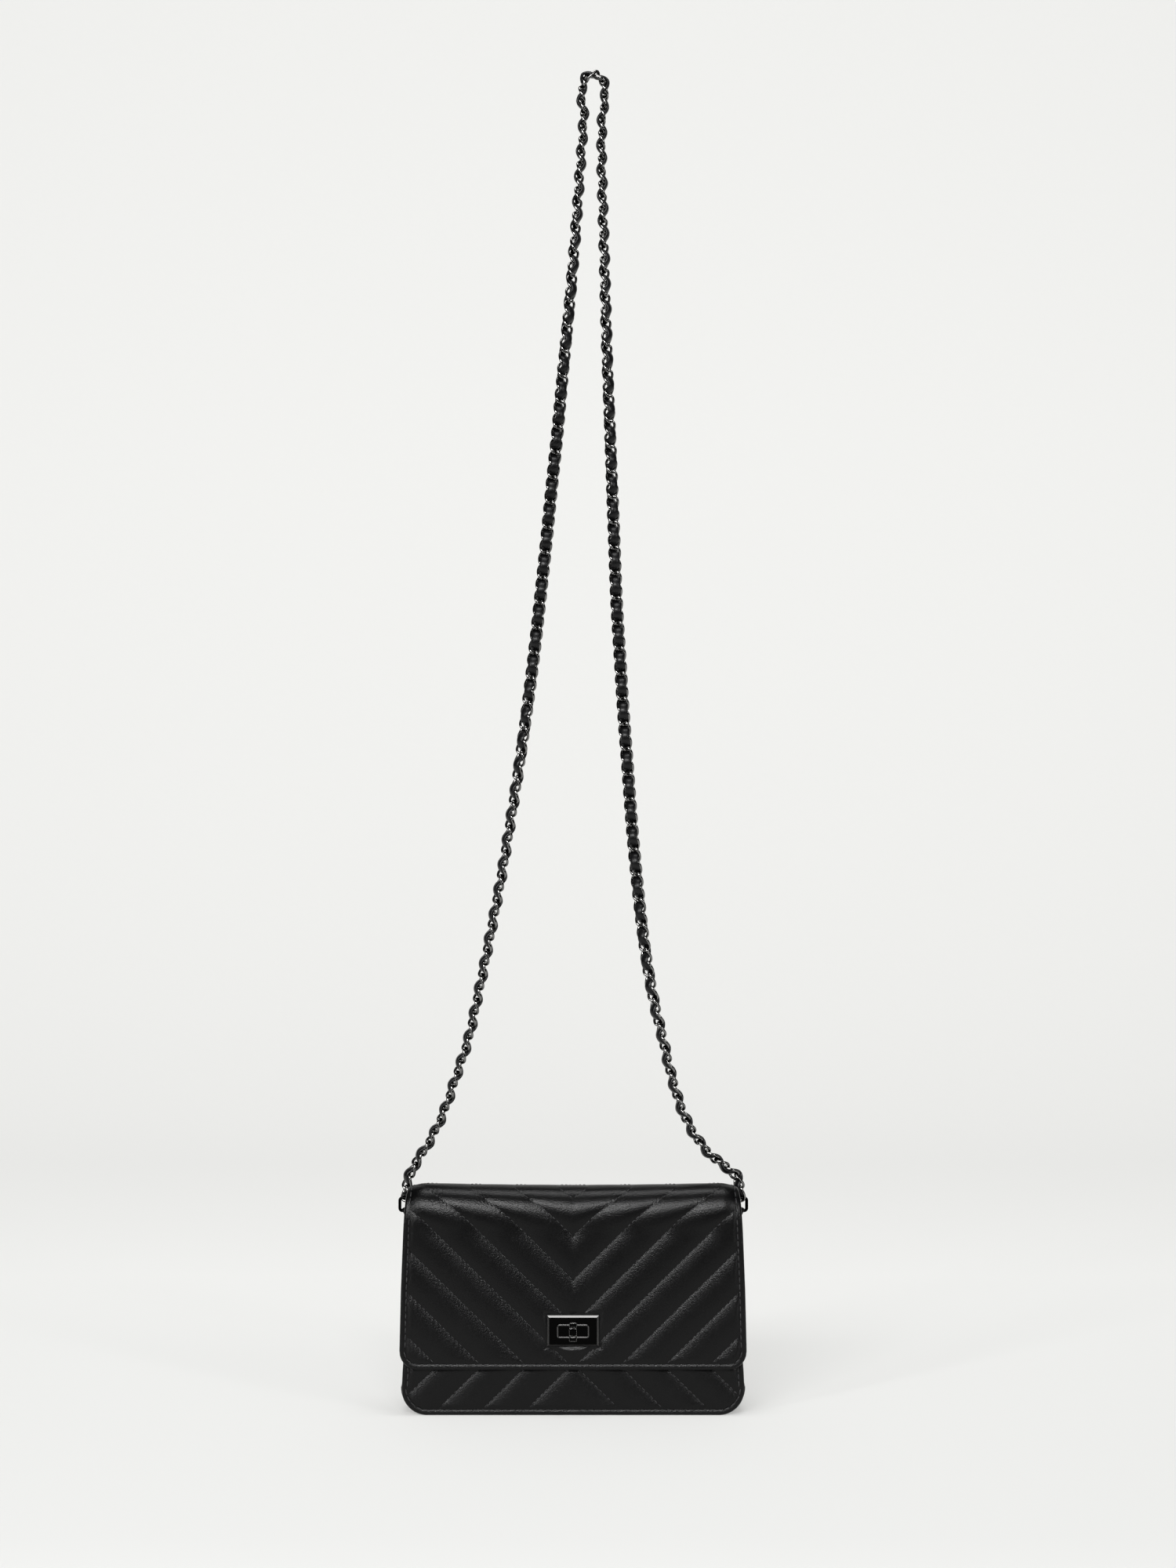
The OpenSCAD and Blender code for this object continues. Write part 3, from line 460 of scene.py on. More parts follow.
def padded_height(place, x, edge_distance, puff):
    """Height of the quilted leather over its base, from its pattern and the distance to its edge."""
    inner = np.clip((edge_distance - EDGE_STITCH) / EDGE_SLOPE, 0, 1)
    inner = 1 - (1 - inner) ** 2
    swell = np.clip(1 - edge_distance / EDGE_STITCH, 0, 1) ** 0.5 * EDGE_SWELL
    gathers = PUCKER * puckers(place, np.abs(x)) * inner
    return puff * (inner * channel(place) + swell) + gathers - SEAM_DEPTH


# The outer skin of the flap, the fold and the back as one developed surface.
# Its height s runs up the flap's front, over the top and down the back.
S_FOLD = TOP_Z - FOLD_RISE
FOLD_TURNS = np.linspace(0, math.pi / 2, 201)
FOLD_ACROSS = np.diff(FOLD_DEPTH * np.cos(FOLD_TURNS))
FOLD_UP = np.diff(FOLD_RISE * np.sin(FOLD_TURNS))
FOLD_LENGTHS = np.concatenate([[0], np.cumsum(np.hypot(FOLD_ACROSS, FOLD_UP))])
S_TOP = S_FOLD + FOLD_LENGTHS[-1]
S_HINGE = S_TOP + HINGE_Y + FACE_Y - FOLD_DEPTH
S_BACK = S_HINGE + HINGE_R * math.pi / 2
S_END = S_BACK + HINGE_Z - EDGE_R
S_START = FLAP_EDGE_H + EDGE_R
S_FLAP_END = S_TOP + 12.0
S_STRIP_END = S_BACK + 12.0

# Half widths of the skin's flat part, inside its rolled edge
SKIN_WIDTHS = np.array([
    [S_START, 95.0], [70, 94.0], [S_FOLD, 92.6], [S_FOLD + 14, 92.0], [S_TOP, 90.8], [S_TOP + 6, 89.4],
    [S_TOP + 10, 87.2], [S_TOP + 13, 85.5], [S_HINGE, 85.5], [S_BACK, 86.0], [S_BACK + 3, 87.4],
    [S_BACK + 7, 88.7], [S_END, 94.4],
])


def skin_profile(s):
    """Point (y, z) and outward normal of the outer skin at developed height s."""
    s = np.asarray(s, float)
    t = np.interp(s - S_FOLD, FOLD_LENGTHS, FOLD_TURNS)
    a = np.arctan2(FOLD_DEPTH * np.sin(t), FOLD_RISE * np.cos(t))
    b = np.clip((s - S_HINGE) / HINGE_R, 0, math.pi / 2)
    on_top = np.clip(s - S_TOP, 0, S_HINGE - S_TOP)
    y = -FACE_Y + FOLD_DEPTH * (1 - np.cos(t)) + on_top + HINGE_R * np.sin(b)
    z = np.minimum(s, S_FOLD) + FOLD_RISE * np.sin(t) - HINGE_R * (1 - np.cos(b))
    z = z - np.clip(s - S_BACK, 0, None)
    turn = a + b
    return y, z, -np.cos(turn), np.sin(turn)


def skin_width(s):
    return np.interp(s, SKIN_WIDTHS[:, 0], SKIN_WIDTHS[:, 1])


def skin_grid(rows, columns):
    """Places (x, s) of the whole outer skin, from the flap's lower edge to the back's."""
    a = spread(columns)
    low_w, high_w = skin_width(S_START), skin_width(S_END)
    low = S_START + corner_drop(low_w * (1 - np.abs(a)), FLAP_CORNER_R - EDGE_R)
    high = S_END - corner_drop(high_w * (1 - np.abs(a)), BODY_CORNER_R - EDGE_R)
    s = low + (high - low) * np.linspace(0, 1, rows)[:, None]
    return a * skin_width(s), s


def corner_distance(side, end, r):
    """Distance to a rim with a round corner, from the distances to its side and its end."""
    inside = np.hypot(np.clip(r - side, 0, None), np.clip(r - end, 0, None))
    return np.where((side < r) & (end < r), r - inside, np.minimum(side, end))


def skin_points(x, s):
    y, z, ny, nz = skin_profile(s)
    side = skin_width(s) - np.abs(x)
    distance = np.minimum(corner_distance(side, s - S_START, FLAP_CORNER_R - EDGE_R),
                          corner_distance(side, S_END - s, BODY_CORNER_R - EDGE_R))
    climb = rise(s, S_FOLD - 6, S_TOP - 4)
    crest = climb * (1 - rise(s, S_BACK + 3, S_BACK + 16))
    puff = PUFF * (1 - CREST_PRESS_SHARE * crest)
    h = padded_height(flap_place(x, s), x, np.clip(distance, 0, None), puff)
    dome = climb * (1 - rise(s, S_TOP - 2, S_HINGE + 2))
    h = h + dome * (CREST_LIFT + DOME_RISE * rise(distance, -4, 9))
    # The padding is pressed flat under the lock plate
    lock = np.maximum(np.abs(x) - LOCK_HALF_W, np.abs(s - LOCK_Z) - LOCK_HALF_H)
    h = (h + PRESS_DEPTH) * rise(lock, 0, LOCK_SLOPE) - PRESS_DEPTH
    # The top sags a little between its two ends
    sag = rise(s, S_FOLD + 6, S_TOP) * (1 - rise(s, S_BACK - 6, S_BACK + 6))
    sag = SAG * sag * np.clip(1 - (x / SAG_HALF_W) ** 2, 0, 1)
    return np.stack([x, y + ny * h, z + nz * h - sag], axis=-1)


ROWS = 380
COLUMNS = 281
SKIN_X, SKIN_S = skin_grid(ROWS, COLUMNS)
SKIN = skin_points(SKIN_X, SKIN_S)
SKIN_NORMALS = surface_normals(skin_points, SKIN_X, SKIN_S)
MIDDLE_S = SKIN_S[:, COLUMNS // 2]
FLAP_LAST = int(np.searchsorted(MIDDLE_S, S_FLAP_END))
STRIP_LAST = int(np.searchsorted(MIDDLE_S, S_STRIP_END))


def skin_piece(name, low, high, ends):
    """Rows low to high of the skin, with rolled edges on its sides and on its low or high end."""
    rows = high + 1 - low
    low_end, right, high_end, left = rim_sides(rows, COLUMNS)
    if ends == "low":
        rims = [left[:-1] + low_end + right[1:]]
    elif ends == "high":
        rims = [right[:-1] + high_end + left[1:]]
    else:
        rims = [left, right]
    return edged_sheet(name, SKIN[low:high + 1], SKIN_NORMALS[low:high + 1], rims)


def build_skin():
    flap = skin_piece("flap_skin", 0, FLAP_LAST, "low")
    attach(flap, "flap")
    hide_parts("flap_outer", "flap_padding")
    fold = skin_piece("fold_skin", FLAP_LAST, STRIP_LAST, "none")
    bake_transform(fold)
    back = skin_piece("back_skin", STRIP_LAST, ROWS - 1, "high")
    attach(back, "case")
    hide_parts("back_panel", "back_padding")


# Stitches: places along a thread and its thickness there, as shares of its length and radius
THREAD_SHARES = [(-0.5, 0.25), (-0.38, 0.85), (0.0, 1.0), (0.38, 0.85), (0.5, 0.25)]
THREAD_SIDES = 6


def one_stitch(p, u, w, n, length, radius, sink):
    """Points of one short thread that arches over the leather."""
    points = []
    for place, size in THREAD_SHARES:
        arch = STITCH_ARCH * (1 - 4 * place * place) - sink
        for a in np.linspace(0, 2 * math.pi, THREAD_SIDES, endpoint=False):
            points.append(p + u * place * length + w * radius * size * math.cos(a)
                          + n * (radius * size * math.sin(a) + arch))
    return points


def stitches_on(name, lines, length, pitch, radius, sink):
    """Stitches along lines. Each line is its points and their normals."""
    verts, faces = [], []
    rings = len(THREAD_SHARES)
    for points, normals in lines:
        at = lengths_along(points)
        for k in range(int(at[-1] / pitch)):
            c = (k + 0.5) * pitch
            p = on_line(points, at, c)
            q = on_line(points, at, min(c + 0.4, at[-1]))
            n = on_line(normals, at, c)
            u = unit(q - p)
            w = unit(np.cross(n, u))
            start = len(verts)
            verts += one_stitch(p, u, w, np.cross(u, w), length, radius, sink)
            faces += closed_tube(rings, THREAD_SIDES, start)
    return finish_mesh(name, verts, faces, THREAD)


def on_skin(x, s):
    p = skin_points(x, s)
    _, _, ny, nz = skin_profile(s)
    return p, np.stack([0 * ny, ny, nz], axis=-1)


def kept_runs(keep):
    """Index runs where keep is true, each long enough for a stitch."""
    places = np.where(keep)[0]
    if len(places) < 4:
        return []
    return [run for run in np.split(places, np.where(np.diff(places) > 1)[0] + 1) if len(run) > 3]


def quilt_lines(s_low, s_high, falling):
    """The stitched V lines of the skin between two heights; past the crest they fall outwards."""
    lines = []
    for k in range(-14, 15):
        x = np.linspace(LINE_START, 95, LINE_STEPS)
        s = QUILT_APEX + k * QUILT_STEP + QUILT_RISE * x
        s = 2 * QUILT_TURN - s if falling else s
        s = np.interp(s, QUILT_S, PLAIN_S)
        keep = (s > max(s_low, S_START + 2)) & (s < s_high) & (x < skin_width(s) - 2)
        keep &= (x > LOCK_HALF_W + 1.4) | (np.abs(s - LOCK_Z) > LOCK_HALF_H + 1.4)
        for run in kept_runs(keep):
            lines += [on_skin(side * x[run], s[run]) for side in (-1, 1)]
    return lines


def border_lines(s_low, s_high):
    s = np.linspace(s_low, s_high, 160)
    return [on_skin(side * (skin_width(s) - EDGE_STITCH), s) for side in (-1, 1)]


def corner_line(width, s_end, r, sign):
    """Stitch line round a lower corner and along half of an edge, on the right side."""
    turn = np.radians(np.linspace(90, 0, 14))
    inner_r = r - EDGE_STITCH
    x = np.concatenate([width - r + inner_r * np.sin(turn), np.linspace(width - r - 1, 0.5, 60)])
    drop = np.concatenate([r - inner_r * np.cos(turn), np.full(60, EDGE_STITCH)])
    return x, s_end + sign * drop


def sew(name, quilting, border):
    """Short stitches along the quilting and long ones along the border, as two pieces."""
    edge = stitches_on(name + "_edge", border, EDGE_LENGTH, EDGE_PITCH, EDGE_THREAD_R, -EDGE_LIFT)
    return stitches_on(name, quilting, STITCH_LENGTH, STITCH_PITCH, STITCH_R, STITCH_SINK), edge


def build_skin_stitches():
    s_flap, s_strip = float(MIDDLE_S[FLAP_LAST]), float(MIDDLE_S[STRIP_LAST])
    quilting = quilt_lines(0, TURN_S, False) + quilt_lines(TURN_S, s_flap, True)
    x, s = corner_line(skin_width(S_START), S_START, FLAP_CORNER_R - EDGE_R, 1)
    border = border_lines(S_START + FLAP_CORNER_R, s_flap)
    border += [on_skin(side * x, s) for side in (-1, 1)]
    for piece in sew("flap_stitches", quilting, border):
        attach(piece, "flap")
    quilting = quilt_lines(s_flap, s_strip, True)
    for piece in sew("fold_stitches", quilting, border_lines(s_flap, s_strip)):
        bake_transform(piece)
    quilting = quilt_lines(s_strip, S_END - 2, True)
    x, s = corner_line(skin_width(S_END), S_END, BODY_CORNER_R - EDGE_R, -1)
    border = border_lines(s_strip, S_END - BODY_CORNER_R)
    border += [on_skin(side * x, s) for side in (-1, 1)]
    for piece in sew("back_stitches", quilting, border):
        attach(piece, "case")


# Front of the body
def front_grid(rows, columns, inset, low, top, corner_r, top_r):
    """Places (x, z) of an upright layer with the body's outline drawn in by an inset."""
    a = spread(columns)
    z_low = low + corner_drop((half_width(low) - inset) * (1 - np.abs(a)), corner_r)
    z_high = top - corner_drop((half_width(top) - inset) * (1 - np.abs(a)), top_r)
    z = z_low + (z_high - z_low) * np.linspace(0, 1, rows)[:, None]
    return a * (half_width(z) - inset), z


def front_points(x, z):
    side = half_width(z) - EDGE_R - np.abs(x)
    low_r = BODY_CORNER_R - EDGE_R
    distance = np.minimum(corner_distance(side, z - EDGE_R, low_r),
                          corner_distance(side, FRONT_H - EDGE_R - z, BACK_CORNER_R - EDGE_R))
    under_flap = rise(z, FLAP_EDGE_H - 1, FLAP_EDGE_H + 3)
    puff = PUFF * (1 - FLAP_PRESS_SHARE * under_flap)
    h = padded_height(front_place(x, z), x, np.clip(distance, 0, None), puff)
    h = h * np.clip((np.hypot(x, z - LOCK_Z) - SNAP_R - SNAP_MARGIN) / SNAP_SLOPE, 0, 1)
    return np.stack([x, FRONT_Y - h, z], axis=-1)


def on_front(x, z):
    p = front_points(x, z)
    return p, np.tile([0, -1.0, 0], (len(p), 1))


FRONT_ROWS = 170
FRONT_COLUMNS = 261


def build_front():
    low_r, top_r = BODY_CORNER_R - EDGE_R, BACK_CORNER_R - EDGE_R
    x, z = front_grid(FRONT_ROWS, FRONT_COLUMNS, EDGE_R, EDGE_R, FRONT_H - EDGE_R, low_r, top_r)
    points = front_points(x, z)
    normals = surface_normals(front_points, x, z)
    front = edged_sheet("front_skin", points, normals, [ring_of(*x.shape)], closed=True)
    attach(front, "case")
    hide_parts("front_panel", "front_padding")
    quilting = []
    for k in range(-2, 10):
        lx = np.linspace(LINE_START, 93, LINE_STEPS)
        lz = FRONT_APEX + k * QUILT_STEP - QUILT_RISE * lx
        keep = (lz > EDGE_R + 2) & (lz < FRONT_H - 3.2) & (lx < half_width(lz) - EDGE_R - 2)
        keep &= np.hypot(lx, lz - LOCK_Z) > SNAP_R + 1.5
        for run in kept_runs(keep):
            quilting += [on_front(side * lx[run], lz[run]) for side in (-1, 1)]
    x, z = corner_line(half_width(EDGE_R) - EDGE_R, EDGE_R, low_r, 1)
    side_z = np.linspace(BODY_CORNER_R + 0.5, FRONT_H - 8, 60)
    side_x = half_width(side_z) - EDGE_R - EDGE_STITCH
    border = []
    for side in (-1, 1):
        border += [on_front(side * x, z), on_front(side * side_x, side_z)]
    for piece in sew("front_stitches", quilting, border):
        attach(piece, "case")


# Lining, boards, card slots and the zipped middle pocket: their distance from the body's sides,
# their lower ends, and for each upright layer its name, place across the bag, half thickness,
# lower end, top, distance from the sides, ripple and looks
LINER_INSET = 10.8
INNER_INSET = 16.3
LINER_LOW = 1.9
INNER_LOW = 8.4
UPRIGHT_LAYERS = {
    "front_lining": ("front_lining_cloth", -7.35, 0.32, LINER_LOW, 107.6, LINER_INSET, 0.1, LINING, "lining"),
    "back_lining": ("back_lining_cloth", 12.15, 0.32, LINER_LOW, 116.6, LINER_INSET, 0.1, LINING, "lining"),
    "front_board": ("front_board_card", -8.3, 0.4, LINER_LOW, 107.4, LINER_INSET, 0.03, INNER, "board"),
    "back_board": ("back_board_card", 13.1, 0.4, LINER_LOW, 116.4, LINER_INSET, 0.03, INNER, "board"),
    "card_backing": ("card_backing_leather", 11.4, 0.34, INNER_LOW, 103.8, INNER_INSET, 0.03, INNER,
                     "inner_leather"),
}

# Card slots: the place of each row across the bag and its top, then the gap between its two slots
CARD_ROWS = (("card_slots_upper", 10.6, 92), ("card_slots_middle", 9.8, 80), ("card_slots_lower", 9.0, 68))
CARD_GAP = 0.7

# The pocket's faces and top, and its zip tapes
POCKET_FRONT_Y = 1.0
POCKET_BACK_Y = 5.4
POCKET_TOP = 99.8
TAPE_INSET = 0.5
TAPE_Z = 100.3
TAPE_HALF_L = 66


def upright_layer(node, name, y, half_t, low, top, inset, wave, material, slot):
    """A thin upright layer with a slightly uneven face."""
    x, z = front_grid(40, 70, inset, low, top, 1.5, 1.5)
    ripple = wave * np.sin(x * 0.09 + top) * np.sin(z * 0.11 + inset)
    piece = thick_sheet(name, np.stack([x, y + ripple, z], -1), half_t, material)
    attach(piece, "case")
    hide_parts(node)


def card_slot(node, y, top):
    """The two card slots of a row, each with a top edge that dips a little in its middle."""
    for side, word in ((-1, "left"), (1, "right")):
        share = np.linspace(0, 1, 30)
        z = np.linspace(INNER_LOW, top - 0.2, 40)[:, None] + 0 * share
        x = CARD_GAP + (half_width(z) - INNER_INSET - CARD_GAP) * share
        dip = 0.5 * np.sin(share * math.pi) * np.clip((z - top + 20) / 20, 0, 1)
        bulge = 0.07 * np.sin(share * math.pi) * np.sin(z * 0.05)
        grid = np.stack([side * x, y - bulge, z - dip], -1)
        piece = thick_sheet(f"{node}_{word}", grid[:, ::side], 0.33, INNER)
        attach(piece, "case")
        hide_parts(node)


def tape_section(k):
    """A flat section whose edges wave a little."""
    return oval(0.83 + 0.03 * (k % 2), 0.26, 10, 4)


def build_pocket():
    """One piece of leather folded at its bottom, with the two zip tapes on its top edges."""
    middle, r = (POCKET_FRONT_Y + POCKET_BACK_Y) / 2, (POCKET_BACK_Y - POCKET_FRONT_Y) / 2
    turn_z = INNER_LOW + r
    wall = np.linspace(POCKET_TOP, turn_z + 2, 12)
    keys = [(POCKET_FRONT_Y, z) for z in wall]
    keys += [(middle - r * math.cos(a), turn_z - r * math.sin(a)) for a in np.linspace(0, math.pi, 12)]
    keys += [(POCKET_BACK_Y, z) for z in wall[::-1]]
    across = np.linspace(-1, 1, 60)
    grid = np.array([[(a * (half_width(z) - INNER_INSET), y, z) for a in across] for y, z in keys])
    pocket = thick_sheet("zip_pocket_leather", grid, 0.36, INNER)
    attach(pocket, "case")
    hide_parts("zip_pocket")
    tapes = (("zip_tape_front", POCKET_FRONT_Y + TAPE_INSET), ("zip_tape_back", POCKET_BACK_Y - TAPE_INSET))
    for name, y in tapes:
        path = np.array([[x, y, TAPE_Z] for x in range(-TAPE_HALF_L, TAPE_HALF_L + 1)], float)
        wide = np.tile([0, 1.0, 0], (len(path), 1))
        thick = np.tile([0, 0, 1.0], (len(path), 1))
        tape = swept(name, path, wide, thick, tape_section, TAPE)
        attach(tape, "case")
        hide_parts("zip_tapes")


def build_inside():
    for node, values in UPRIGHT_LAYERS.items():
        upright_layer(node, *values)
    for node, y, top in CARD_ROWS:
        card_slot(node, y, top)
    build_pocket()


# Base strip, gussets and bindings
BASE_HALF_W = 11.1
BASE_HALF_T = 0.58
BASE_LIFT = 0.62
BASE_MIDDLE_Y = 2.4
BASE_END_Z = 18
GUSSET_LOW = 15
GUSSET_TOP = 106


def build_base():
    """The strip under the body, from one upturned end round the bottom to the other."""
    r = BODY_CORNER_R
    half = [(-half_width(z), z) for z in np.linspace(BASE_END_Z, r, 5, endpoint=False)]
    for a in np.radians(np.linspace(180, 270, 16, endpoint=False)):
        half.append((-half_width(0) + r + r * math.cos(a), r + r * math.sin(a)))
    flat = [(x, 0) for x in np.linspace(-half_width(0) + r, half_width(0) - r, 60)]
    outline = half + flat + [(-x, z) for x, z in half[::-1]]
    path = np.array([(x, 0, z) for x, z in outline])
    wide = np.tile([0, 1.0, 0], (len(path), 1))
    thick = unit(np.cross(wide, unit(np.gradient(path, axis=0))))
    thick = thick * np.sign(thick[len(path) // 2, 2])
    path = path + thick * BASE_LIFT + np.array([0, BASE_MIDDLE_Y, 0])
    section = oval(BASE_HALF_W, BASE_HALF_T, 28, 9)
    base = swept("base_leather", path, wide, thick, lambda k: section, TRIM)
    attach(base, "case")
    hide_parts("base_strip")


def build_gusset(name, side, node):
    """Side leather sewn to both panels and folded inwards between them."""
    front_y, back_y, middle_y = -8.15, 12.95, 2.4
    keys = [(-1.8, front_y), (-5.5, front_y), (-7.6, front_y + 0.25), (-9.2, front_y + 1.8),
            (-12.6, middle_y - 3.4), (-14.2, middle_y - 1.2), (-14.7, middle_y),
            (-14.2, middle_y + 1.2), (-12.6, middle_y + 4), (-9.2, back_y - 1.8),
            (-7.6, back_y - 0.25), (-5.5, back_y), (-1.8, back_y)]
    line = smoothed(fine_line(keys, 61), 6)
    soft = np.sin(np.linspace(0, math.pi, len(line))) ** 2
    grid = []
    for z in np.linspace(GUSSET_LOW, GUSSET_TOP, 50):
        x = half_width(z) + line[:, 0] + 0.35 * math.sin(z * 0.13) * soft
        grid.append(np.stack([side * x, line[:, 1], np.full(len(line), z)], -1))
    gusset = thick_sheet(name, np.array(grid), 0.55, TRIM)
    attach(gusset, "case")
    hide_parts(node)


def build_binding(name, keys, half_w, node):
    """A leather strip along X, folded over an edge along (y, z) points."""
    line = smoothed(fine_line(keys, 8 * len(keys) - 7), 4)
    xs = np.linspace(-half_w, half_w, 90)
    grid = np.array([[(x, y, z + 0.05 * math.sin(x * 0.21)) for x in xs] for y, z in line])
    binding = thick_sheet(name, grid, 0.38, TRIM)
    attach(binding, "case")
    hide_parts(node)


def build_flap_lining():
    a = np.linspace(-1, 1, 90)
    s = np.linspace(S_START + 1.6, S_HINGE - 2.4, 110)[:, None] + 0 * a
    x = a * (skin_width(s) - 1.6)
    y, z, ny, nz = skin_profile(s)
    depth = FLAP_T - 0.48
    grid = np.stack([x, y - ny * depth, z - nz * depth], -1)
    cloth = thick_sheet("flap_lining_cloth", grid, 0.36, LINING)
    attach(cloth, "flap")
    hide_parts("flap_lining")


def build_trim():
    build_base()
    build_gusset("gusset_left", -1, "left_gusset")
    build_gusset("gusset_right", 1, "right_gusset")
    over_front = [(-12, 107.2), (-12, 108.4), (-9, 108.4), (-6.6, 108.4), (-6.6, 104), (-6.6, 100.4)]
    over_back = [(13.2, 117.4), (11.4, 117.4), (11.4, 112), (11.4, 105.2)]
    build_binding("front_binding", over_front, 77, "front_top_binding")
    build_binding("back_binding", over_back, 79, "back_top_binding")
    build_flap_lining()


# Chain, lace and tabs. The strap's route and turns are the same shares as in the part's source.
ring_low, ring_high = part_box("strap_ring_right")
RING_X = (ring_low.x + ring_high.x) / 2 / MM
PIVOT_Y = (ring_low.y + ring_high.y) / 2 / MM
RING_WIRE_R = (ring_high.y - ring_low.y) / 2 / MM
RING_BAR_Z = ring_low.z / MM + RING_WIRE_R
PIVOT_Z = ring_high.z / MM - RING_WIRE_R
STRAP_RISE = 635.0
LINKS = 184
LINK_WIRE = 1.55
LINK_W = 7.4
LINK_GAP = 0.3
LINK_TWIST = 45
TOP_FIRST = 90
TOP_LINKS = 4
LACE_SWING = 2.45
LACE_STEPS = 10
LACE_HALF_W = 2.2
LACE_HALF_T = 0.8
LACE_MORE_W = 0.7
LACE_MORE_T = 0.6
LACE_END = 0.35
TAB_LEAN = 7.3
TAB_LENGTH = 15.0
TAB_REACH = 17.0
TAB_HALF_GAP = 0.66
TAB_LOOP_R = 1.7
ROUTE_SHARES = np.array([
    (-1, 0), (-1, 0.012), (-0.98, 0.022), (-0.938, 0.034), (-0.884, 0.046), (-0.82, 0.063),
    (-0.757, 0.085), (-0.707, 0.107), (-0.635, 0.139), (-0.571, 0.181), (-0.497, 0.235),
    (-0.439, 0.28), (-0.381, 0.331), (-0.328, 0.381), (-0.28, 0.431), (-0.236, 0.482),
    (-0.197, 0.534), (-0.161, 0.584), (-0.127, 0.635), (-0.095, 0.68), (-0.063, 0.732),
    (-0.034, 0.776), (-0.008, 0.817), (0.016, 0.861), (0.036, 0.902), (0.055, 0.942),
    (0.062, 0.966), (0.047, 0.98), (0.068, 0.994), (0.12, 1), (0.172, 0.994), (0.193, 0.98),
    (0.178, 0.966), (0.17, 0.931), (0.176, 0.89), (0.186, 0.839), (0.195, 0.789),
    (0.207, 0.732), (0.22, 0.682), (0.233, 0.631), (0.246, 0.581), (0.26, 0.528),
    (0.279, 0.483), (0.3, 0.433), (0.326, 0.383), (0.353, 0.329), (0.387, 0.276),
    (0.43, 0.222), (0.48, 0.178), (0.54, 0.14), (0.598, 0.104), (0.661, 0.076),
    (0.751, 0.052), (0.857, 0.035), (0.942, 0.026), (0.985, 0.02), (1, 0.012), (1, 0),
])
TWIST_SHARES = np.array([
    (0, -45), (0.03, -80), (0.1, -70), (0.18, -60), (0.24, -10), (0.335, 10), (0.42, 60),
    (0.48, 90), (0.52, 90), (0.6, 120), (0.7, 165), (0.755, 180), (0.81, 180), (0.86, 200),
    (0.92, 245), (0.97, 250), (1, 225),
])


def smooth_route(steps=12):
    """The strap's route in the XZ plane, as close points with soft bends."""
    low = PIVOT_Z - RING_WIRE_R - LINK_GAP / 2
    knots = ROUTE_SHARES * (RING_X, STRAP_RISE) + (0, low)
    chords = np.diff(knots, axis=0)
    lengths = np.linalg.norm(chords, axis=1)
    slopes = []
    for i in range(len(knots)):
        before, after = max(i, 1) - 1, min(i, len(chords) - 1)
        l0, l1 = lengths[before], lengths[after]
        slopes.append((chords[before] / l0 * l1 + chords[after] / l1 * l0) / (l0 + l1))
    points = []
    for i, chord in enumerate(chords):
        for t in np.linspace(0, 1, steps, endpoint=False):
            bend = t * t * (3 - 2 * t)
            points.append(knots[i] + chord * bend + lengths[i] * slopes[i] * t * (1 - t) ** 2
                          - lengths[i] * slopes[i + 1] * t * t * (1 - t))
    return np.array(points + [knots[-1]])


ROUTE = smooth_route()
ROUTE_LENGTHS = lengths_along(ROUTE)
PITCH = ROUTE_LENGTHS[-1] / LINKS


def route_at(count):
    """A place on the route, counted in links from the left ring."""
    x, z = on_line(ROUTE, ROUTE_LENGTHS, count * PITCH)
    return np.array([x, PIVOT_Y, z])


def course(count):
    """Direction of the route."""
    return unit(route_at(min(count + 0.5, LINKS)) - route_at(max(count - 0.5, 0)))


def flat_side(count):
    """Direction out of the flat side of the chain."""
    c = course(count)
    a = math.atan2(c[0], c[2])
    t = math.radians(np.interp(count / LINKS, TWIST_SHARES[:, 0], TWIST_SHARES[:, 1]))
    return np.array([math.sin(t) * math.cos(a), -math.cos(t), -math.sin(t) * math.sin(a)])


def link_ends(i):
    """The two places where the ends of a link's wire turn."""
    reach = (LINK_WIRE + LINK_GAP) / 2
    return route_at(i) - reach * course(i), route_at(i + 1) + reach * course(i + 1)


def link_centre_line(i, along):
    """The wire's middle in one link, which twists from one end to the other to lie flat."""
    low, high = link_ends(i)
    u = unit(high - low)
    front = flat_side(i + 0.5)
    front = unit(front - u * np.dot(front, u))
    across = np.cross(u, front)
    half_l, half_w = (PITCH + LINK_WIRE) / 2, (LINK_W - LINK_WIRE) / 2
    line = []
    for t in np.linspace(0, 2 * math.pi, along, endpoint=False):
        c, s = math.cos(t), math.sin(t)
        shape = (abs(c) ** 2.5 + abs(s) ** 2.5) ** (-1 / 2.5)
        c, s = c * shape, s * shape
        turn = math.radians(LINK_TWIST) * c
        side = across * math.cos(turn) + front * math.sin(turn)
        line.append((low + high) / 2 + u * c * half_l + s * half_w * side)
    return np.array(line), (low + high) / 2


def chain_piece(name, first, last, node, along=40, around=12):
    verts, faces = [], []
    for i in range(first, last + 1):
        line, middle = link_centre_line(i, along)
        run = unit(np.roll(line, -1, axis=0) - np.roll(line, 1, axis=0))
        out = line - middle
        out = unit(out - run * np.sum(out * run, axis=1, keepdims=True))
        side = np.cross(run, out)
        faces += grid_quads(along, around, len(verts), True, True, flip=True)
        turns = np.linspace(0, 2 * math.pi, around, endpoint=False)
        for k in range(along):
            spokes = [math.cos(a) * out[k] + math.sin(a) * side[k] for a in turns]
            verts += [line[k] + LINK_WIRE / 2 * spoke for spoke in spokes]
    piece = finish_mesh(name, verts, faces, CHAIN_METAL)
    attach(piece, "strap")
    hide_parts(node)


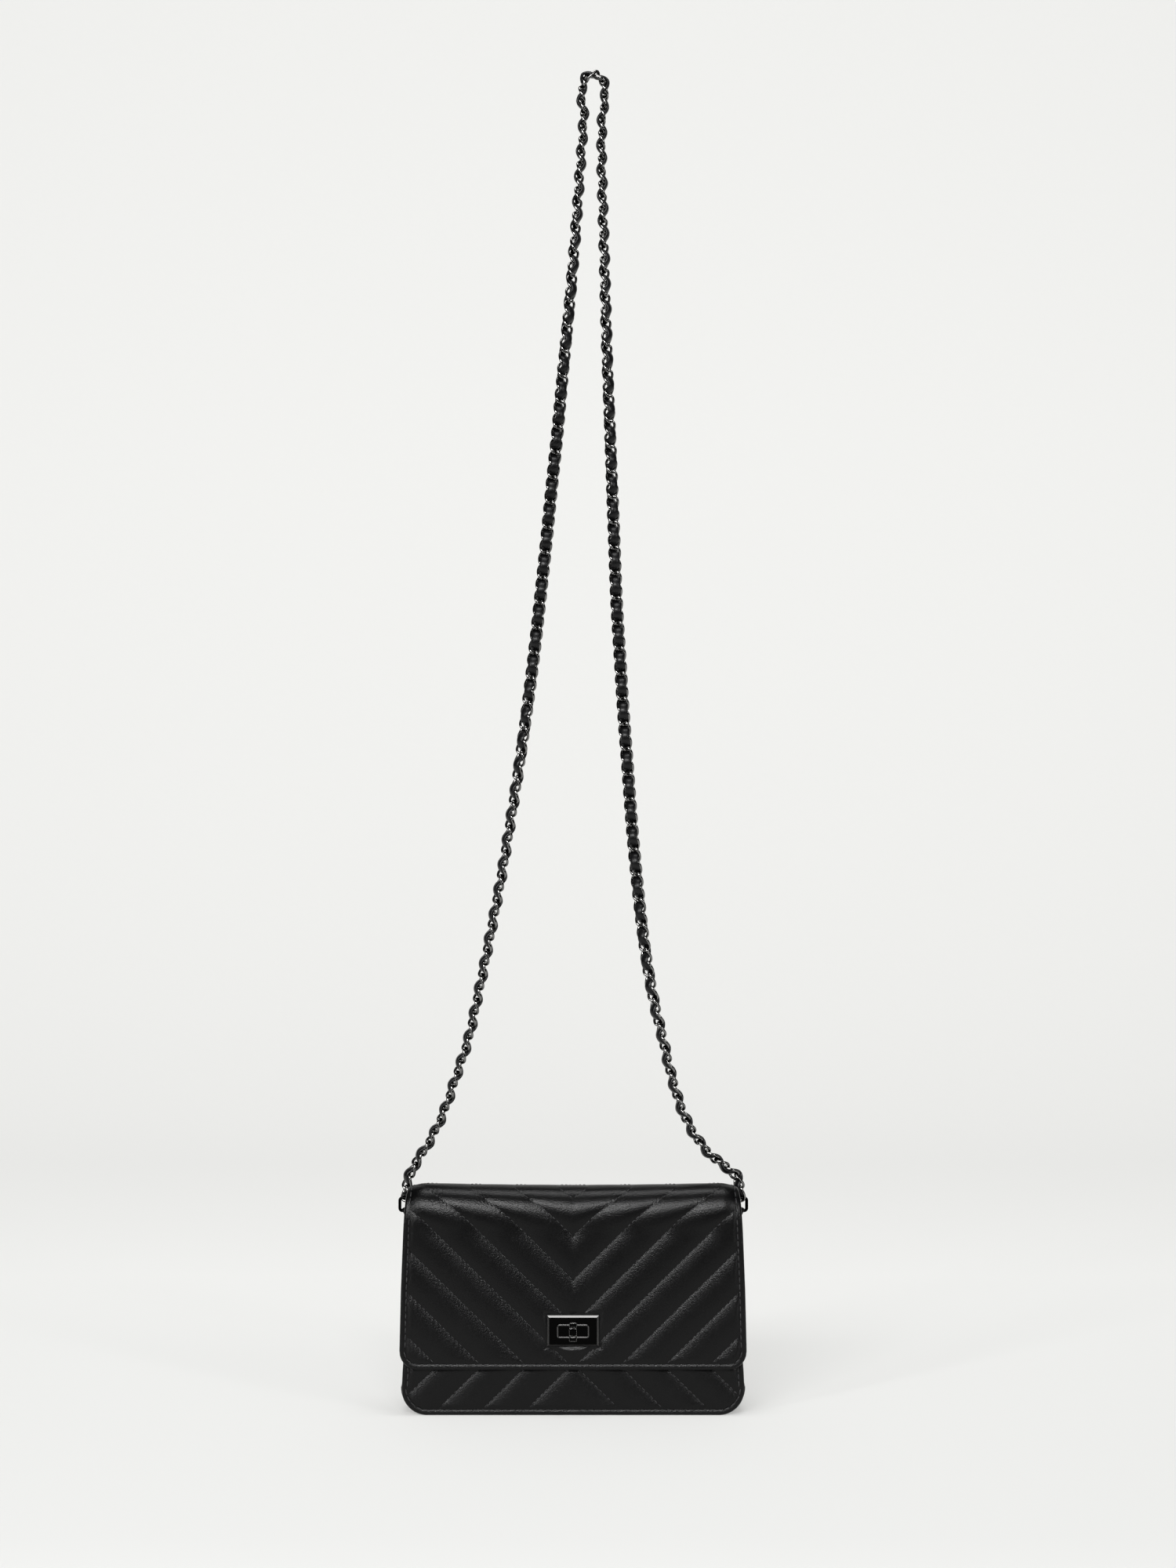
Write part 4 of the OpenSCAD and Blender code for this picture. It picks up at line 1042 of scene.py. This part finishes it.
def build_chain():
    chain_piece("chain_links_left", 0, TOP_FIRST - 1, "chain_left")
    chain_piece("chain_links_top", TOP_FIRST, TOP_FIRST + TOP_LINKS - 1, "chain_top")
    chain_piece("chain_links_right", TOP_FIRST + TOP_LINKS, LINKS - 1, "chain_right")


def build_lace():
    """The lace weaves from one face of the chain to the other and swells inside each link."""
    counts = np.arange(LACE_END, LINKS - LACE_END + 1e-6, 1 / LACE_STEPS)
    path, wide = [], []
    for count in counts:
        i = min(int(math.floor(count)), LINKS - 1)
        low, high = link_ends(i)
        shift = ((low + high) / 2 - route_at(i + 0.5)) * math.sin(math.pi * (count - i)) / 2
        wave = math.cos(math.pi * count)
        wave = math.copysign(abs(wave) ** 0.8, wave)
        path.append(route_at(count) + shift + flat_side(count) * LACE_SWING * wave)
        wide.append(unit(np.cross(course(count), flat_side(count))))
    path, wide = np.array(path), np.array(wide)
    thick = unit(np.cross(wide, unit(np.gradient(path, axis=0))))
    swell = 1 - np.abs(np.cos(math.pi * counts))
    sections = [oval(LACE_HALF_W + LACE_MORE_W * w, LACE_HALF_T + LACE_MORE_T * w, 12, 2.3) for w in swell]
    lace = swept("woven_lace_leather", path, wide, thick, lambda k: sections[k], LACE)
    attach(lace, "strap")
    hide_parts("woven_lace")


def build_tab(name, side, node):
    """A leather strip folded round its ring's lower wire and sewn to itself."""
    root = np.array([RING_X - TAB_LEAN, RING_BAR_Z - TAB_LENGTH])
    bar = np.array([RING_X, RING_BAR_Z])
    climb = np.linspace(0, 1, 14, endpoint=False)
    open_up = TAB_HALF_GAP + (TAB_LOOP_R - TAB_HALF_GAP) * np.clip((climb - 0.8) / 0.2, 0, 1)
    keys = [(t, -y) for t, y in zip(climb, open_up)]
    for a in np.radians(np.linspace(-90, 90, 12)):
        keys.append((1.0 + TAB_LOOP_R * math.cos(a) / TAB_REACH, TAB_LOOP_R * math.sin(a)))
    keys += [(t, y) for t, y in zip(climb[::-1], open_up[::-1])]
    path = []
    for t, y in keys:
        x, z = root + (bar - root) * t
        path.append((side * x, PIVOT_Y + y, z))
    path = np.array(path)
    lean = unit(np.array([side * (bar[1] - root[1]), 0, root[0] - bar[0]]))
    wide = np.tile(lean, (len(path), 1))
    thick = unit(np.cross(unit(np.gradient(path, axis=0)), wide))
    tab = swept(name, path, wide, thick, lambda k: oval(1.8, 0.56, 14, 5), TRIM)
    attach(tab, "case")
    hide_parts(node)


# Solids that keep their shape and get a material and soft edges
def dress(node, material, bevel):
    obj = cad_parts[node]
    obj.data.materials.clear()
    obj.data.materials.append(material)
    if bevel:
        modifier = obj.modifiers.new("soft_edges", "BEVEL")
        modifier.width = bevel * MM
        modifier.segments = 3
        modifier.limit_method = "ANGLE"
        modifier.angle_limit = math.radians(35)
        for polygon in obj.data.polygons:
            polygon.use_smooth = True
        normals = obj.modifiers.new("edge_normals", "WEIGHTED_NORMAL")
        normals.keep_sharp = False


def paint_highlight_sides(mesh, material, limit):
    """A second material on the faces of a mesh that don't look straight ahead; it is a lighter copy of the
    metal, a painted highlight along the sides.
    """
    mesh.materials.append(material)
    for polygon in mesh.polygons:
        polygon.material_index = 1 if abs(polygon.normal.y) < limit else 0


PILLOW_LEVELS = 29
PILLOW_SIDES = 56
PILLOW_POWER = 7
TOGGLE_GROOVE = 0.3


def pillow(centre, half):
    """Points of a block with softly rounded edges."""
    points = []
    for polar in np.radians(np.linspace(3, 177, PILLOW_LEVELS)):
        for turn in np.linspace(0, 2 * math.pi, PILLOW_SIDES, endpoint=False):
            ring_r = math.sin(polar)
            d = np.array([ring_r * math.cos(turn), ring_r * math.sin(turn), math.cos(polar)])
            size = np.sum(np.abs(d) ** PILLOW_POWER) ** (1 / PILLOW_POWER)
            points.append(np.array(centre) + half * d / size)
    return points


def build_toggle():
    """The toggle: two caps and a middle with narrow grooves between them, on one core."""
    low, high = [np.array(v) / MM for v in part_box("turn_toggle")]
    middle, half = (low + high) / 2, (high - low) / 2
    cap, groove = half[2] / 4, TOGGLE_GROOVE
    blocks = [(0, (half[0] - groove, half[1] - groove / 2, half[2] - cap), groove / 2)]
    blocks += [(side * (half[2] - cap), (half[0], half[1], cap), 0) for side in (-1, 1)]
    blocks.append((0, (half[0], half[1], half[2] - 2 * cap - groove), 0))
    verts, faces = [], []
    for rise_z, size, back in blocks:
        start = len(verts)
        verts += pillow(middle + (0, back, rise_z), size)
        faces += closed_tube(PILLOW_LEVELS, PILLOW_SIDES, start)
    toggle = finish_mesh("toggle_metal", verts, faces, LOCK_METAL)
    # The toggle's sides get a lighter copy of its black metal: a painted highlight.
    paint_highlight_sides(toggle.data, TOGGLE_HIGHLIGHT_METAL, 0.9)
    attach(toggle, "toggle")
    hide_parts("turn_toggle")


def build_slot_frame():
    """The raised frame of the slot, as a rounded bead round a rectangle with soft corners."""
    low, high = [np.array(v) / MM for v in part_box("lock_slot_frame")]
    middle, half_t = (low + high) / 2, (high[1] - low[1]) / 2
    reach_x, reach_z = (high - low)[[0, 2]] / 2 - SLOT_RIM / 2
    section = oval(SLOT_RIM / 2, half_t, 20, 2.2)
    verts = []
    corners = ((1, 1, 0), (-1, 1, 90), (-1, -1, 180), (1, -1, 270))
    for side_x, side_z, first in corners:
        corner = np.array([side_x * (reach_x - SLOT_BEND_R), 0, side_z * (reach_z - SLOT_BEND_R)])
        for a in np.radians(np.linspace(first, first + 90, 10)):
            out = np.array([math.cos(a), 0, math.sin(a)])
            centre = middle + corner + out * SLOT_BEND_R
            verts += [centre + out * u + np.array([0, -v, 0]) for u, v in section]
    faces = grid_quads(len(verts) // len(section), len(section), closed_rows=True, closed_columns=True)
    # The bead is a lighter copy of the lock's black metal: a painted highlight.
    bead = finish_mesh("slot_frame_metal", verts, faces, LOCK_HIGHLIGHT_METAL)
    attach(bead, "flap")
    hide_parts("lock_slot_frame")


# Metal solids that are shown as they are: their material and the width of their softened edges
DRESSED = (
    ("zip_slider", DARK_METAL, 0.15), ("zip_pull", DARK_METAL, 0.2), ("zip_teeth", DARK_METAL, 0),
    ("zip_stops", DARK_METAL, 0.1), ("strap_ring_left", LOCK_METAL, 0), ("strap_ring_right", LOCK_METAL, 0),
    ("tab_rivets", DARK_METAL, 0.3), ("snap_stud", PLAIN_METAL, 0), ("snap_socket", PLAIN_METAL, 0),
    ("lock_back_plate", PLAIN_METAL, 0), ("lock_posts", PLAIN_METAL, 0),
    ("toggle_spindle", PLAIN_METAL, 0), ("spindle_washer", PLAIN_METAL, 0),
)


def dress_metal():
    dress("lock_plate", LOCK_METAL, 0.16)
    # The plate's rim faces get a lighter copy of its black metal: a painted highlight.
    paint_highlight_sides(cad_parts["lock_plate"].data, LOCK_HIGHLIGHT_METAL, 0.98)
    build_slot_frame()
    build_toggle()
    for node, material, bevel in DRESSED:
        dress(node, material, bevel)


# Floor, lights and camera. The paper's sizes are in millimetres, the others in metres
PAPER = (0.46, 0.462, 0.455)
PAPER_HALF_W = 1600.0
PAPER_FRONT_Y = -430.0
SWEEP_Y = 1200.0
SWEEP_R = 1600.0
PAPER_TOP_Z = 5000.0
NEAR_GLOW = 0.29
PAPER_GLOW = 0.48
MORE_FAR_GLOW = 0.11
SOFT_GLOW = 0.35
ROOM = (0.9, 0.9, 0.885)
DARK_ROOM = (0.02, 0.02, 0.02)
ROOM_LIGHT = 0.3
ROOM_SEEN = 0.97
LAMPS = (
    ("key", (-0.3, -2.3, 1.2), (0, 0, 0.1), (1.5, 0.5), 58),
    ("top", (0.05, -0.27, 1.9), (0, -0.02, 0.1), (0.9, 0.5), 12),
    ("left", (-1.4, -1.8, 0.75), (0, 0, 0.2), (0.16, 1.3), 16),
    ("right", (1.5, -1.7, 0.75), (0, 0, 0.2), (0.16, 1.3), 12),
)
CAMERA_PLACE = (0.0083, -1.817, 0.351)
CAMERA_LENS = 49.7
CAMERA_SENSOR = 24


SEEN_RAYS = ("Is Camera Ray", "Is Glossy Ray", "Is Transmission Ray")


def ray_share(tree, rays, low, high):
    """The high value for the kinds of ray that are named, and the low one for the others."""
    path = tree.nodes.new("ShaderNodeLightPath")
    seen = path.outputs[rays[0]]
    for ray in rays[1:]:
        seen = combined(tree, "MAXIMUM", seen, path.outputs[ray])
    return spanned(tree, seen, low, high)


def depth_of(tree, place):
    """The part of a place that points away from the camera."""
    return joined(tree, "SeparateXYZ", {"Vector": place}, "Y")


def paper_glow(tree, shader, place):
    """The paper glows a little, more so far back, so the background is as even as in the photo."""
    depth = depth_of(tree, place)
    near = spanned(tree, depth, NEAR_GLOW, PAPER_GLOW, -0.3, 0.5)
    far = spanned(tree, depth, 0.0, MORE_FAR_GLOW, 0.5, 2.6)
    glow = combined(tree, "ADD", near, far)
    seen = ray_share(tree, SEEN_RAYS, SOFT_GLOW, 1.0)
    shader.inputs["Emission Color"].default_value = (0.99, 0.99, 0.97, 1)
    shader.inputs["Emission Strength"].default_value = PAPER_GLOW
    tree.links.new(combined(tree, "MULTIPLY", glow, seen), shader.inputs["Emission Strength"])


def build_world():
    """A pale wall behind the bag. The rest of the room is dark where metal mirrors it."""
    world = bpy.data.worlds.new("studio")
    world.use_nodes = True
    tree = world.node_tree
    direction = joined(tree, "TexCoord", {}, "Generated")
    behind = spanned(tree, depth_of(tree, direction), 0.0, 1.0, 0.4, 0.8)
    plain = ray_share(tree, ("Is Camera Ray", "Is Diffuse Ray"), 0.0, 1.0)
    pale = combined(tree, "MAXIMUM", behind, plain)
    background = tree.nodes["Background"]
    tree.links.new(mixed(tree, pale, DARK_ROOM, ROOM), background.inputs["Color"])
    tree.links.new(ray_share(tree, SEEN_RAYS, ROOM_LIGHT, ROOM_SEEN), background.inputs["Strength"])
    bpy.context.scene.world = world


def build_backdrop():
    """White paper that runs from the floor up behind the bag in one soft curve."""
    material, tree, shader, place = new_material("backdrop_paper", PAPER, 0.9)
    shader.inputs["Specular IOR Level"].default_value = 0.1
    vary_color(tree, shader, noise(tree, place, 3.0, 2), PAPER, 0.995, 1.0)
    paper_glow(tree, shader, place)
    profile = [(PAPER_FRONT_Y, 0.0), (SWEEP_Y, 0.0)]
    for a in np.radians(np.linspace(4, 90, 24)):
        profile.append((SWEEP_Y + SWEEP_R * math.sin(a), SWEEP_R - SWEEP_R * math.cos(a)))
    profile.append((SWEEP_Y + SWEEP_R, PAPER_TOP_Z))
    verts = [(x, y, z) for y, z in profile for x in (-PAPER_HALF_W, PAPER_HALF_W)]
    paper = finish_mesh("backdrop", verts, grid_quads(len(profile), 2), material)


def area_light(name, place, aim, size, power):
    light = bpy.data.lights.new(name, "AREA")
    light.shape = "RECTANGLE"
    light.size, light.size_y = size
    light.energy = power
    obj = bpy.data.objects.new(name, light)
    bpy.context.collection.objects.link(obj)
    obj.location = place
    obj.rotation_euler = (Vector(aim) - Vector(place)).to_track_quat("-Z", "Y").to_euler()


def build_studio():
    build_backdrop()
    build_world()
    for name, place, aim, size, power in LAMPS:
        area_light(name, place, aim, size, power)


def place_camera():
    data = bpy.data.cameras.new("camera")
    data.sensor_fit = "VERTICAL"
    data.sensor_height = CAMERA_SENSOR
    data.lens = CAMERA_LENS
    data.clip_start = 0.05
    camera = bpy.data.objects.new("camera", data)
    bpy.context.collection.objects.link(camera)
    camera.location = CAMERA_PLACE
    camera.rotation_euler = (math.radians(90), 0, 0)
    bpy.context.scene.camera = camera
    bpy.context.scene.view_settings.view_transform = "Standard"


build_skin()
build_skin_stitches()
build_front()
build_inside()
build_trim()
build_chain()
build_lace()
build_tab("tab_left", -1, "strap_tab_left")
build_tab("tab_right", 1, "strap_tab_right")
dress_metal()
build_studio()
place_camera()
